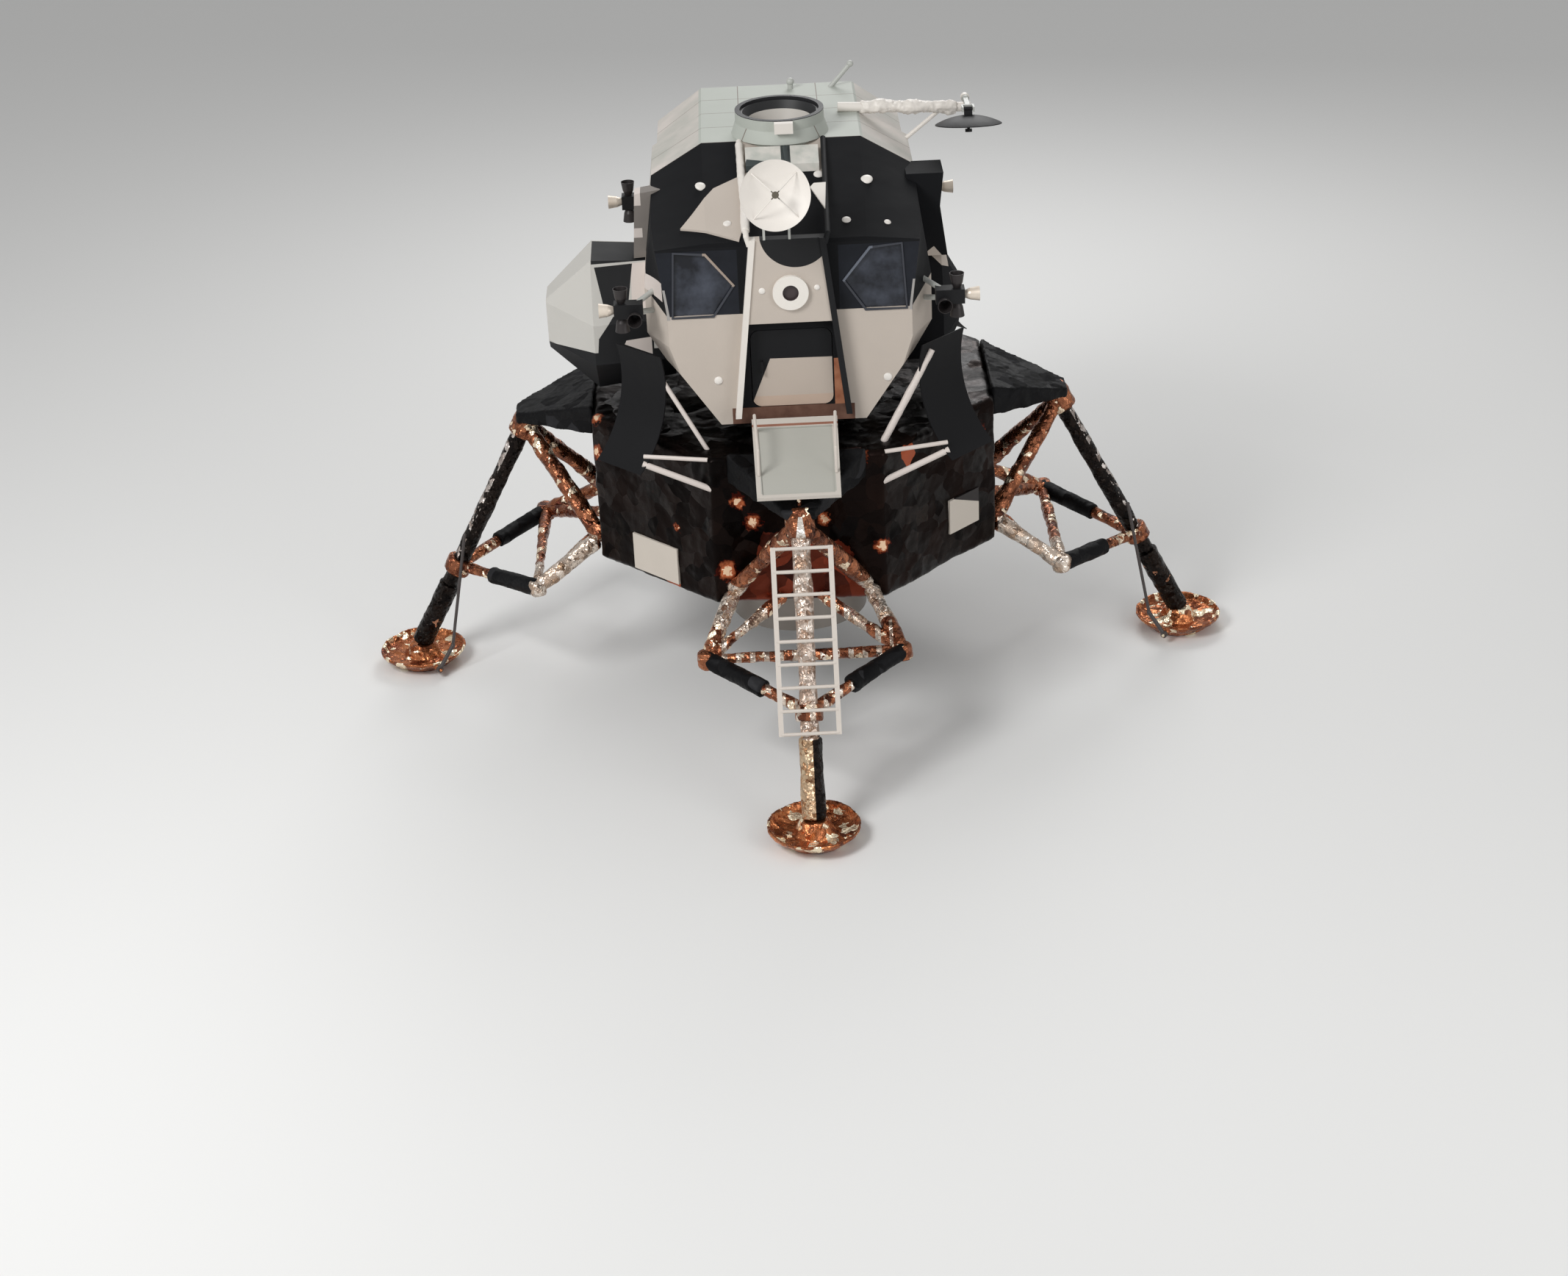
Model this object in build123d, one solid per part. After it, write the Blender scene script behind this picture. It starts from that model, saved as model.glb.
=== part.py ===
# Crewed lunar lander on its landing gear.
# Millimetres. +Z is up, the ladder and the forward hatch face -Y, and +X is to the
# right of someone who looks at the hatch. The origin is on the ground, midway
# between the four footpads.
from build123d import *
import math
import os

os.makedirs("parts", exist_ok=True)

# Descent stage, a regular octagon in plan
STAGE_BOTTOM = 1575.0
STAGE_TOP = 3226.0
STAGE_HALF_WIDTH = 2108.0
STAGE_EDGE_CHAMFER = 45.0
ENGINE_BAY_RADIUS = 720.0
ENGINE_BAY_TOP = 2900.0
SHIELD_THICKNESS = 30.0
SHIELD_RADIUS = 1150.0

# Descent engine
GIMBAL_HEIGHT = 2159.0
THROAT_RADIUS = 110.0
NOZZLE_EXIT_RADIUS = 749.0
NOZZLE_EXIT_HEIGHT = 533.0
NOZZLE_WALL = 18.0
CHAMBER_RADIUS = 205.0
CHAMBER_TOP = 2780.0
INJECTOR_HEIGHT = 90.0
RING_INNER_RADIUS = 275.0
RING_OUTER_RADIUS = 330.0
RING_HEIGHT = 80.0
GIMBAL_PIN_RADIUS = 28.0
PIN_CLEARANCE = 0.06

# Landing gear, in each leg's own frame: r outwards, t sideways, z up
APEX_R = 2885.0
APEX_Z = 2827.0
PAD_R = 4242.0
PAD_RADIUS = 470.0
PAD_RIM_HEIGHT = 180.0
PAD_RIM_THICKNESS = 18.0
PAD_SOLE_RADIUS = 290.0
PAD_SOCKET_RADIUS = 150.0
PAD_SOCKET_HEIGHT = 235.0
PRIMARY_RADIUS = 86.0
SLEEVE_RADIUS = 112.0
SLEEVE_LENGTH = 800.0
JUNCTION_Z = 1168.0
KNEE_R = 2819.0
KNEE_T = 991.0
KNEE_Z = 1321.0
SECONDARY_RADIUS = 52.0
DAMPER_RADIUS = 88.0
DAMPER_SHARE = 0.56
OUTRIGGER_T = 686.0
OUTRIGGER_Z = 1753.0
OUTRIGGER_RADIUS = 62.0
TRUSS_RADIUS = 38.0
SIDE_BRACE_RADIUS = 55.0
TRUSS_FOOT_T = 200.0
TRUSS_FOOT_Z = 1640.0
FITTING_RADIUS = 125.0
KNEE_BALL_RADIUS = 78.0
COLLAR_RADIUS = 130.0
COLLAR_HEIGHT = 150.0
HOOD_BASE_T = 711.0
HOOD_TIP_T = 150.0
HOOD_TIP_R = 2960.0
HOOD_BASE_LOW = 2960.0
HOOD_BASE_HIGH = 3270.0
HOOD_TIP_LOW = 2895.0
HOOD_TIP_HIGH = 2990.0

# Surface probes
PROBE_RADIUS = 17.0
PROBE_LINK = 300.0
PROBE_BEND = 22.0
PROBE_KNUCKLE_RADIUS = 34.0
PROBE_KNUCKLE_WIDTH = 46.0
PROBE_PIN_RADIUS = 13.0
PROBE_SIDE_PLAY = 6.0
PROBE_BOSS_REACH = 118.0
PROBE_BOSS_RADIUS = 30.0
PROBE_CAP = 10.0
PROBE_HINGE_REACH = 512.0
PROBE_HINGE_Z = 118.0
PROBE_HINGE_TURN = 25.0
# Where a stowed probe's tip stands: outboard of the primary strut, to its side, and how high
PROBE_TIP_OUT = 112.0
PROBE_TIP_SIDE = 193.0
PROBE_TIP_Z = 1612.0

# Ladder and porch
LADDER_HALF_WIDTH = 285.0
LADDER_STANDOFF = 150.0
LADDER_FOOT_GAP = 46.0
RUNG_SPACING = 228.6
RUNG_COUNT = 9
RUNG_RADIUS = 18.0
RAIL_WIDTH = 50.0
RAIL_DEPTH = 26.0
PORCH_BACK_Y = -1905.0
PORCH_BACK_Z = 3518.0
PORCH_FRONT_Y = -3048.0
PORCH_FRONT_Z = 3162.0
PORCH_HALF_BACK = 432.0
PORCH_HALF_FRONT = 413.0
PORCH_THICKNESS = 38.0
HANDRAIL_RADIUS = 16.0
PORCH_POST_RADIUS = 22.0
# x, y and how far down it starts from the deck's height
PORCH_POSTS = ((-370.0, -2030.0, 60.0), (370.0, -2030.0, 60.0), (0.0, -2870.0, 330.0))
LADDER_BRACKETS = (0.125, 0.5, 0.875)

# Thruster plume deflectors on the descent stage
DEFLECTOR_TOP = 4205.0
DEFLECTOR_BOTTOM = 3050.0
DEFLECTOR_REACH_TOP = 2185.0
DEFLECTOR_REACH_BOTTOM = 2560.0
DEFLECTOR_SAG = 190.0
DEFLECTOR_WIDTH = 640.0
DEFLECTOR_THICKNESS = 14.0
# foot on the stage's corner, then the tip: reach along the diagonal, sideways, height, then the radius
DEFLECTOR_BARS = (
    ((-880.0, -1860.0, 3190.0), 2184.0, 150.0, 4150.0, 24.0),
    ((-895.0, -2060.0, 3195.0), 2440.0, 260.0, 3200.0, 22.0),
    ((-870.0, -2075.0, 2875.0), 2470.0, 270.0, 3130.0, 32.0),
)

# Plates on the stage's front diagonal faces: centre x, y, z, width, height, turn
PLATE_THICKNESS = 26.0
SIDE_PLATES = (
    (-1490.6, -1490.6, 1854.0, 660.0, 406.0, -45.0),
    (1740.0, -1241.2, 2120.0, 467.0, 381.0, 45.0),
)

# Ascent stage
ASCENT_BOTTOM = 3327.0
ROOF_Z = 5944.0
FRONT_Y = -1778.0
CABIN_WALL = 62.0
SHOULDER_Y = -1270.0
ROOF_START_Y = -305.0
AFT_BEVEL_Y = 1650.0
HOOD_SPLIT_Z = 5340.0
# Right half of each cross-section from the bottom up: x, z
FRONT_OUTLINE = [(737, 3454), (1118, 4013), (1219, 4318), (1219, 4648), (1308, 5334), (787, 5385)]
SHOULDER_OUTLINE = [(737, 3404), (1270, 3988), (1448, 4293), (1448, 4801), (1346, 5436), (800, 5578)]
BACK_OUTLINE = [(737, 3357), (1270, 3988), (1448, 4293), (1448, 4831), (1346, 5551), (808, 5799)]
ROOF_OUTLINE = [(737, 3327), (1270, 3988), (1448, 4293), (1448, 4851), (1346, 5626), (813, ROOF_Z)]
AFT_OUTLINE = [(737, 3450), (1200, 4000), (1360, 4300), (1360, 4850), (1300, 5600), (813, ROOF_Z)]
REAR_OUTLINE = [(700, 3500), (1140, 4050), (1290, 4330), (1290, 4830), (1230, 5500), (800, 5750)]
WINDOW_OUTLINE = [(1118, 5283), (813, 5258), (559, 4940), (762, 4636), (1156, 4636)]
WINDOW_RECESS = 22.0
PANE_THICKNESS = 14.0
# Pale panel on the brow beside the nose, plan view x, y
BROW_PANEL = ((-704.0, -1016.0), (-1046.0, -1512.0), (-470.0, -1775.0), (-345.0, -1300.0), (-360.0, -809.0))
BROW_PANEL_THICKNESS = 22.0
MID_FRONT_Y = -686.0
MID_REAR_Y = 686.0
AFT_REAR_Y = 1905.0
HATCH_SIDE = 813.0
HATCH_FLOOR_Z = 3632.0
HATCH_CORNER = 90.0
HATCH_PLAY = 8.0
HATCH_THICKNESS = 48.0
HATCH_HINGE_X = 448.0
HATCH_HINGE_Y = -1692.0
HATCH_HINGE_Z = (3810.0, 4270.0)
HATCH_KNUCKLE = 60.0
HATCH_KNUCKLE_RADIUS = 15.0
HATCH_PIN_RADIUS = 6.0
HANDLE_X = -300.0
HANDLE_LOW = 3990.0
HANDLE_LENGTH = 140.0
HANDLE_REACH = 40.0
HANDLE_RADIUS = 10.0

# Nose between the windows
NOSE_TOP_X = 345.0
NOSE_TOP_Z = 5436.0
NOSE_FOOT_X = 560.0
NOSE_FOOT_Z = 3560.0
NOSE_BEAM = 60.0
NOSE_DEPTH = 130.0
NOSE_PANEL_Z = 4562.0
LAMP_X = 14.0
LAMP_Z = 4886.0
LAMP_RADIUS = 178.0
LAMP_HOLE = 76.0
LAMP_DEPTH = 40.0

# Docking collar
TUNNEL_RADIUS = 406.0
TUNNEL_RING_RADIUS = 457.0
TUNNEL_DEPTH = 620.0
SKIRT_HEIGHT = 127.0
COLLAR_HEIGHT_ABOVE = 114.0
RING_BOTTOM = ROOF_Z + SKIRT_HEIGHT
TUNNEL_TOP = RING_BOTTOM + COLLAR_HEIGHT_ABOVE
SKIRT_RADIUS = 500.0
# Fitting on the ring's front: x, width, how far its front stands from the bore, height
RING_FITTING = (31.0, 190.0, 130.0, 110.0)
RING_FITTING_DROP = 6.0
DROGUE_THROAT = 90.0
DROGUE_DEPTH = 480.0

# Tank covers: cross-sections from the body outwards, each x and eight corners (y, z) that
# run from the front of the underside up the front, over the top and down the back
TANK_COVERS = (
    ("left", (
        (-1200.0, ((-560, 3540), (-930, 3870), (-930, 4300), (-700, 4850), (-300, 4890), (330, 4260), (330, 3870),
                   (0, 3540))),
        (-2007.0, ((-616, 3454), (-1016, 3854), (-1016, 4283), (-760, 4900), (-282, 4953), (400, 4271), (400, 3854),
                   (0, 3454))),
        (-2500.0, ((-505, 3886), (-635, 4016), (-635, 4430), (-600, 4455), (-279, 4470), (100, 4091), (100, 4016),
                   (-30, 3886))))),
    ("right", (
        (1200.0, ((-520, 3560), (-850, 3890), (-850, 4550), (-560, 4840), (-300, 4880), (300, 4280), (300, 3890),
                  (0, 3560))),
        (1600.0, ((-520, 3560), (-850, 3890), (-850, 4450), (-560, 4740), (-300, 4780), (300, 4180), (300, 3890),
                  (0, 3560))),
        (1790.0, ((-360, 3886), (-500, 4026), (-500, 4280), (-380, 4400), (-200, 4420), (200, 4050), (200, 4020),
                  (0, 3886))))),
)
# Side bays: corners (x, z) and how far each reaches back from the cabin
SIDE_BAYS = (
    ("left", [(-1250, 4902), (-1560, 4880), (-1515, 5560), (-1250, 5600)], 200.0),
    ("right", [(1250, 4760), (1660, 4760), (1590, 5289), (1630, 5640), (1250, 5640)], 420.0),
)

# Thruster quads
QUAD_XY = 1676.0
QUAD_Z = 4699.0
QUAD_BODY = 150.0
QUAD_INBOARD = 215.0
QUAD_FORWARD_OFFSET = 134.0
QUAD_FORWARD_DROP = 42.0
QUAD_NOZZLE_TIP = 225.0
QUAD_NOZZLE_EXIT = 74.0
QUAD_NOZZLE_THROAT = 24.0
QUAD_NOZZLE_WALL = 5.0
BOOM_ROOT_X = 1330.0
BOOM_ROOT_FRONT_Y = -1420.0
BOOM_ROOT_REAR_Y = 1420.0
BOOM_ROOT_Z = (4590.0, 4810.0)
BOOM_RADIUS = 28.0
DISH_WALL = 9.0

# Wedge that carries the radar in front of the tunnel: side view y, z, then half its width
RADAR_BASE = ((-520.0, 5700.0), (-520.0, 5945.0), (-800.0, 5840.0), (-800.0, 5650.0))
RADAR_BASE_HALF = 370.0
RADAR_CONDUIT = ((35.0, -560.0, 5940.0), (78.0, -1250.0, 5600.0))
RADAR_CONDUIT_RADIUS = 26.0

# Rendezvous radar on the brow
RADAR_PIVOT = (-100.0, -1960.0, 5900.0)
RADAR_DISH_RADIUS = 343.0
RADAR_DISH_DEPTH = 105.0
RADAR_DISH_REACH = 260.0
RADAR_TILT = 20.0
RADAR_EAR_SPACING = 125.0
RADAR_EAR = 24.0
RADAR_PIN = 20.0
RADAR_SPINDLE = 14.0
RADAR_BLOCK = 90.0
RADAR_FORK = 16.0
RADAR_FORK_REACH = 92.0
FEED_REACH = 150.0

# Steerable antenna on its side boom
STEER_BOOM_Y = 560.0
STEER_ROOT_X = 820.0
STEER_ROOT_Z = 5990.0
STEER_TIP_X = 2010.0
STEER_TIP_Z = 5930.0
STEER_BOOM_RADIUS = 50.0
STEER_BRACE = ((1300.0, 560.0, 5600.0), (1700.0, 560.0, 5920.0))
STEER_BRACE_RADIUS = 22.0
STEER_PIVOT = (1950.0, 100.0, 6050.0)
STEER_DISH_RADIUS = 345.0
STEER_DISH_DEPTH = 90.0
STEER_DISH_REACH = 160.0
STEER_NORMAL = (0.0, -0.2, -0.98)
STEER_BEARING_Y = 510.0
STEER_SPINDLE = 18.0
STEER_PIN = 10.0
STEER_LUG = 24.0
STEER_CHEEK_IN = 48.0
STEER_CHEEK_OUT = 66.0

# Roof aerials: foot, tip, radius
AERIALS = (
    ((150.0, 1480.0, 5930.0), (150.0, 1480.0, 6020.0), 30.0),
    ((575.0, 1500.0, 5930.0), (800.0, 1500.0, 6180.0), 26.0),
)

LEGS = (("right", 0.0), ("rear", 90.0), ("left", 180.0), ("front", 270.0))


def save(shape, node):
    export_step(shape, f"parts/{node}.step")


def rod(start, end, radius, skip_start=0.0, skip_end=0.0):
    """A round bar between two points, cut short at either end."""
    a, b = Vector(*start), Vector(*end)
    run = b - a
    length = run.length - skip_start - skip_end
    place = Plane(origin=a + run.normalized() * skip_start, z_dir=run.normalized())
    return place * Cylinder(radius, length, align=(Align.CENTER, Align.CENTER, Align.MIN))


def along(start, end, share):
    a, b = Vector(*start), Vector(*end)
    point = a + (b - a) * share
    return (point.X, point.Y, point.Z)


def turned(shape, angle):
    return Rot(0, 0, angle) * shape


def all_round(shape, angles=(0.0, 90.0, 180.0, 270.0)):
    return Compound([turned(shape, angle) for angle in angles])


def section(half_outline, y):
    """A face across the length, from its right half's corners (x, z)."""
    right = [(x, y, z) for x, z in half_outline]
    left = [(-x, y, z) for x, z in reversed(half_outline)]
    return make_face(Polyline(*right, *left, close=True))


def inset(half_outline, amount):
    """The same outline pulled in by a wall's thickness on every side."""
    centre_z = (half_outline[0][1] + half_outline[-1][1]) / 2
    half_height = (half_outline[-1][1] - half_outline[0][1]) / 2
    widest = max(x for x, z in half_outline)
    shrink_x = 1 - amount / widest
    shrink_z = 1 - amount / half_height
    return [(x * shrink_x, centre_z + (z - centre_z) * shrink_z) for x, z in half_outline]


def ruled(stations):
    """A shell with flat or straight-ruled sides through sections (outline, y)."""
    return loft([section(outline, y) for outline, y in stations], ruled=True)


# Descent stage body
octagon = RegularPolygon(STAGE_HALF_WIDTH / math.cos(math.pi / 8), 8, rotation=22.5)
stage = Pos(0, 0, STAGE_BOTTOM) * extrude(octagon, STAGE_TOP - STAGE_BOTTOM)
rims = stage.edges().filter_by(Plane.XY)
stage = chamfer(rims, STAGE_EDGE_CHAMFER)
engine_bay = Pos(0, 0, STAGE_BOTTOM) * Cylinder(
    ENGINE_BAY_RADIUS, ENGINE_BAY_TOP - STAGE_BOTTOM, align=(Align.CENTER, Align.CENTER, Align.MIN))
stage -= engine_bay
save(stage, "descent_stage")

shield = Pos(0, 0, STAGE_BOTTOM - SHIELD_THICKNESS) * (
    Cylinder(SHIELD_RADIUS, SHIELD_THICKNESS, align=(Align.CENTER, Align.CENTER, Align.MIN))
    - Cylinder(ENGINE_BAY_RADIUS, SHIELD_THICKNESS, align=(Align.CENTER, Align.CENTER, Align.MIN)))
save(shield, "base_heat_shield")

# Descent engine: bell, chamber, gimbal ring and its two pairs of trunnions
bell_length = GIMBAL_HEIGHT - NOZZLE_EXIT_HEIGHT
bell_mid_radius = THROAT_RADIUS + 0.62 * (NOZZLE_EXIT_RADIUS - THROAT_RADIUS)
bell_mid_height = GIMBAL_HEIGHT - 0.42 * bell_length
outer_curve = ThreePointArc(
    (THROAT_RADIUS + NOZZLE_WALL, 0, GIMBAL_HEIGHT),
    (bell_mid_radius + NOZZLE_WALL, 0, bell_mid_height),
    (NOZZLE_EXIT_RADIUS, 0, NOZZLE_EXIT_HEIGHT))
inner_curve = ThreePointArc(
    (NOZZLE_EXIT_RADIUS - NOZZLE_WALL, 0, NOZZLE_EXIT_HEIGHT),
    (bell_mid_radius, 0, bell_mid_height),
    (THROAT_RADIUS, 0, GIMBAL_HEIGHT))
bell_wall = make_face([outer_curve, Line(outer_curve @ 1, inner_curve @ 0), inner_curve,
                       Line(inner_curve @ 1, outer_curve @ 0)])
bell = revolve(bell_wall, Axis.Z)
chamber_outline = [
    (0, GIMBAL_HEIGHT), (THROAT_RADIUS + NOZZLE_WALL, GIMBAL_HEIGHT),
    (CHAMBER_RADIUS, GIMBAL_HEIGHT + 190), (CHAMBER_RADIUS, CHAMBER_TOP - INJECTOR_HEIGHT),
    (CHAMBER_RADIUS * 1.12, CHAMBER_TOP - INJECTOR_HEIGHT), (CHAMBER_RADIUS * 1.12, CHAMBER_TOP),
    (0, CHAMBER_TOP)]
chamber = revolve(make_face(Polyline(*[(r, 0, z) for r, z in chamber_outline], close=True)), Axis.Z)
nozzle = bell + chamber
pin_reach = RING_INNER_RADIUS + 25.0
for side in (-1, 1):
    nozzle += rod((0, side * THROAT_RADIUS, GIMBAL_HEIGHT), (0, side * pin_reach, GIMBAL_HEIGHT),
                  GIMBAL_PIN_RADIUS)
save(nozzle, "engine_nozzle")

gimbal_ring = Pos(0, 0, GIMBAL_HEIGHT) * (
    Cylinder(RING_OUTER_RADIUS, RING_HEIGHT) - Cylinder(RING_INNER_RADIUS, RING_HEIGHT))
bore_radius = GIMBAL_PIN_RADIUS + PIN_CLEARANCE
for axis_x, axis_y in ((1, 0), (-1, 0), (0, 1), (0, -1)):
    gimbal_ring -= rod((axis_x * (RING_INNER_RADIUS - 40), axis_y * (RING_INNER_RADIUS - 40), GIMBAL_HEIGHT),
                       (axis_x * (RING_OUTER_RADIUS + 40), axis_y * (RING_OUTER_RADIUS + 40), GIMBAL_HEIGHT),
                       bore_radius)
save(gimbal_ring, "gimbal_ring")

mounts = []
for side in (-1, 1):
    pin = rod((side * (RING_OUTER_RADIUS - 25), 0, GIMBAL_HEIGHT), (side * 460, 0, GIMBAL_HEIGHT),
              GIMBAL_PIN_RADIUS)
    arm = Pos(side * (430 + ENGINE_BAY_RADIUS) / 2, 0, GIMBAL_HEIGHT) * Box(
        ENGINE_BAY_RADIUS - 430, 150, 170)
    mounts.append((pin + arm) & Cylinder(ENGINE_BAY_RADIUS, 4 * GIMBAL_HEIGHT))
save(Compound(mounts), "engine_mounts")

# Landing gear, one leg in its own frame with r along +X, then four copies
apex = (APEX_R, 0, APEX_Z)
foot = (PAD_R, 0, PAD_SOCKET_HEIGHT)
junction_share = (APEX_Z - JUNCTION_Z) / (APEX_Z - PAD_SOCKET_HEIGHT)
junction = along(apex, foot, junction_share)
strut_direction = (Vector(*foot) - Vector(*apex)).normalized()
strut_length = (Vector(*foot) - Vector(*apex)).length
knees = [(KNEE_R, side * KNEE_T, KNEE_Z) for side in (-1, 1)]
stage_lugs = [(STAGE_HALF_WIDTH, side * OUTRIGGER_T, OUTRIGGER_Z) for side in (-1, 1)]
truss_feet = [(STAGE_HALF_WIDTH, side * TRUSS_FOOT_T, TRUSS_FOOT_Z) for side in (-1, 1)]
strut_plane = Plane(origin=apex, x_dir=(0, 1, 0), z_dir=strut_direction)

apex_fitting = strut_plane * Cylinder(FITTING_RADIUS, 2 * FITTING_RADIUS)
collar = Plane(origin=junction, x_dir=(0, 1, 0), z_dir=strut_direction) * Cylinder(
    COLLAR_RADIUS, COLLAR_HEIGHT)
sleeve_start = along(foot, apex, SLEEVE_LENGTH / strut_length)
primary_end = sleeve_start
primary = rod(apex, primary_end, PRIMARY_RADIUS, skip_start=FITTING_RADIUS)
collar -= rod(apex, primary_end, PRIMARY_RADIUS)
sleeve = rod(sleeve_start, foot, SLEEVE_RADIUS)

pad_outline = [
    (0, 0), (PAD_SOLE_RADIUS, 0), (PAD_RADIUS - 22, PAD_RIM_HEIGHT - 52), (PAD_RADIUS, PAD_RIM_HEIGHT - 18),
    (PAD_RADIUS, PAD_RIM_HEIGHT), (PAD_RADIUS - 22, PAD_RIM_HEIGHT), (PAD_RADIUS - 60, PAD_RIM_HEIGHT - 62),
    (PAD_SOCKET_RADIUS + 60, 95), (PAD_SOCKET_RADIUS, PAD_SOCKET_HEIGHT - 40),
    (PAD_SOCKET_RADIUS - 25, PAD_SOCKET_HEIGHT), (0, PAD_SOCKET_HEIGHT)]
pad = revolve(make_face(Polyline(*[(r, 0, z) for r, z in pad_outline], close=True)), Axis.Z)
pad = Pos(PAD_R, 0, 0) * pad
sleeve -= Pos(PAD_R, 0, 0) * Cylinder(
    PAD_SOCKET_RADIUS + 40, PAD_SOCKET_HEIGHT, align=(Align.CENTER, Align.CENTER, Align.MIN))

knee_balls = [Pos(*knee) * Cylinder(KNEE_BALL_RADIUS, 1.6 * KNEE_BALL_RADIUS) for knee in knees]
thin_struts = []
dampers = []
crossbars = []
outriggers = []
knee_tool = Compound(knee_balls)
for knee, lug, truss_foot in zip(knees, stage_lugs, truss_feet):
    damper_end = along(knee, junction, DAMPER_SHARE)
    thin_struts.append(rod(damper_end, junction, SECONDARY_RADIUS) - collar - primary - rod(
        apex, primary_end, PRIMARY_RADIUS))
    dampers.append(rod(knee, damper_end, DAMPER_RADIUS) - knee_tool)
    outriggers.append(rod(lug, apex, OUTRIGGER_RADIUS) - apex_fitting - stage)
for knee, lug, truss_foot in zip(knees, stage_lugs, truss_feet):
    crossbars.append(rod(lug, knee, SIDE_BRACE_RADIUS, skip_start=90) - knee_tool - stage
                     - Compound(dampers) - Compound(outriggers))
    crossbars.append(rod(truss_foot, knee, TRUSS_RADIUS) - knee_tool - stage - Compound(dampers)
                     - crossbars[-1])
crossbars.append(rod(knees[0], knees[1], TRUSS_RADIUS) - knee_tool - Compound(dampers)
                 - Compound(crossbars))
save(all_round(primary), "primary_struts")
save(all_round(sleeve), "strut_sleeves")
save(all_round(collar), "strut_collars")
save(all_round(apex_fitting), "apex_fittings")
save(all_round(Compound(thin_struts)), "secondary_struts")
save(all_round(Compound(dampers)), "secondary_dampers")
save(all_round(Compound(knee_balls)), "knee_fittings")
save(all_round(Compound(outriggers)), "outrigger_struts")
save(all_round(Compound(crossbars)), "deployment_trusses")

# Probe brackets stand on the side of three footpads, the ladder's pad has none
hinge_angle = math.radians(PROBE_HINGE_TURN)


def probe_hinge(side):
    """Where a probe turns, on the given side of its leg."""
    return Vector(PAD_R - PROBE_HINGE_REACH * math.sin(hinge_angle),
                  side * PROBE_HINGE_REACH * math.cos(hinge_angle), PROBE_HINGE_Z)


def stowed_run(side):
    """From a probe's hinge to the place where its stowed tip stands beside the strut."""
    strut_r = APEX_R + (APEX_Z - PROBE_TIP_Z) / (APEX_Z - PAD_SOCKET_HEIGHT) * (PAD_R - APEX_R)
    return Vector(strut_r + PROBE_TIP_OUT, side * PROBE_TIP_SIDE, PROBE_TIP_Z) - probe_hinge(side)


def swing_plane(side):
    """The upright plane that a probe swings in: x outboard, y up, z the hinge."""
    run = stowed_run(side)
    outboard = Vector(-run.X, -run.Y, 0).normalized()
    return Plane(origin=probe_hinge(side), x_dir=outboard, z_dir=outboard.cross(Vector(0, 0, 1)))


def probe(side):
    """A stowed probe: a cranked link and a long feeler rod that points up."""
    bend = math.radians(PROBE_BEND)
    elbow = (-PROBE_LINK * math.sin(bend), PROBE_LINK * math.cos(bend), 0)
    run = stowed_run(side)
    tip = (0, run.length, 0)
    lean = math.degrees(math.atan2(math.hypot(run.X, run.Y), run.Z))
    shape = (Cylinder(PROBE_KNUCKLE_RADIUS, PROBE_KNUCKLE_WIDTH)
             + rod((0, 0, 0), elbow, PROBE_RADIUS * 1.3)
             + Pos(*elbow) * Sphere(PROBE_RADIUS * 1.45) + rod(elbow, tip, PROBE_RADIUS)
             + Pos(*tip) * Sphere(PROBE_RADIUS * 1.3))
    shape -= Cylinder(PROBE_PIN_RADIUS + PIN_CLEARANCE, 2 * PROBE_KNUCKLE_WIDTH)
    return swing_plane(side) * (Rot(0, 0, lean) * shape)


def probe_bracket(side):
    """A stub axle on the pad's flank: a boss, a pin and a cap that keeps the probe on."""
    hinge = probe_hinge(side)
    axle = swing_plane(side).z_dir
    towards_pad = Vector(PAD_R, 0, PROBE_HINGE_Z) - hinge
    axle = axle if axle.dot(towards_pad) > 0 else axle * -1
    gap = PROBE_KNUCKLE_WIDTH / 2 + PROBE_SIDE_PLAY
    boss = rod(hinge + axle * gap, hinge + axle * PROBE_BOSS_REACH, PROBE_BOSS_RADIUS)
    pin = rod(hinge - axle * (gap + PROBE_CAP), hinge + axle * (gap + 5), PROBE_PIN_RADIUS)
    cap = rod(hinge - axle * (gap + PROBE_CAP), hinge - axle * gap, PROBE_PIN_RADIUS * 1.8)
    return boss + pin + cap


pads = []
for name, angle in LEGS:
    leg_pad = pad
    if name != "front":
        side = 1 if name == "left" else -1
        leg_pad = leg_pad + probe_bracket(side)
        save(turned(probe(side), angle), f"probe_{name}")
    pads.append(turned(leg_pad, angle))
save(Compound(pads), "footpads")

# Blanket hoods over the outriggers
hood_plan = make_face(Polyline((STAGE_HALF_WIDTH, -HOOD_BASE_T, 0), (HOOD_TIP_R, -HOOD_TIP_T, 0),
                               (HOOD_TIP_R, HOOD_TIP_T, 0), (STAGE_HALF_WIDTH, HOOD_BASE_T, 0), close=True))
hood_side = make_face(Polyline((STAGE_HALF_WIDTH, 0, HOOD_BASE_LOW), (HOOD_TIP_R, 0, HOOD_TIP_LOW),
                               (HOOD_TIP_R, 0, HOOD_TIP_HIGH), (STAGE_HALF_WIDTH, 0, HOOD_BASE_HIGH), close=True))
hood = extrude(hood_plan, amount=2 * STAGE_TOP, dir=(0, 0, 1)) & extrude(
    hood_side, amount=HOOD_BASE_T, dir=(0, 1, 0), both=True)
hood = (hood - apex_fitting).solids().sort_by(SortBy.VOLUME)[-1]
save(all_round(hood), "outrigger_hoods")

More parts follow.
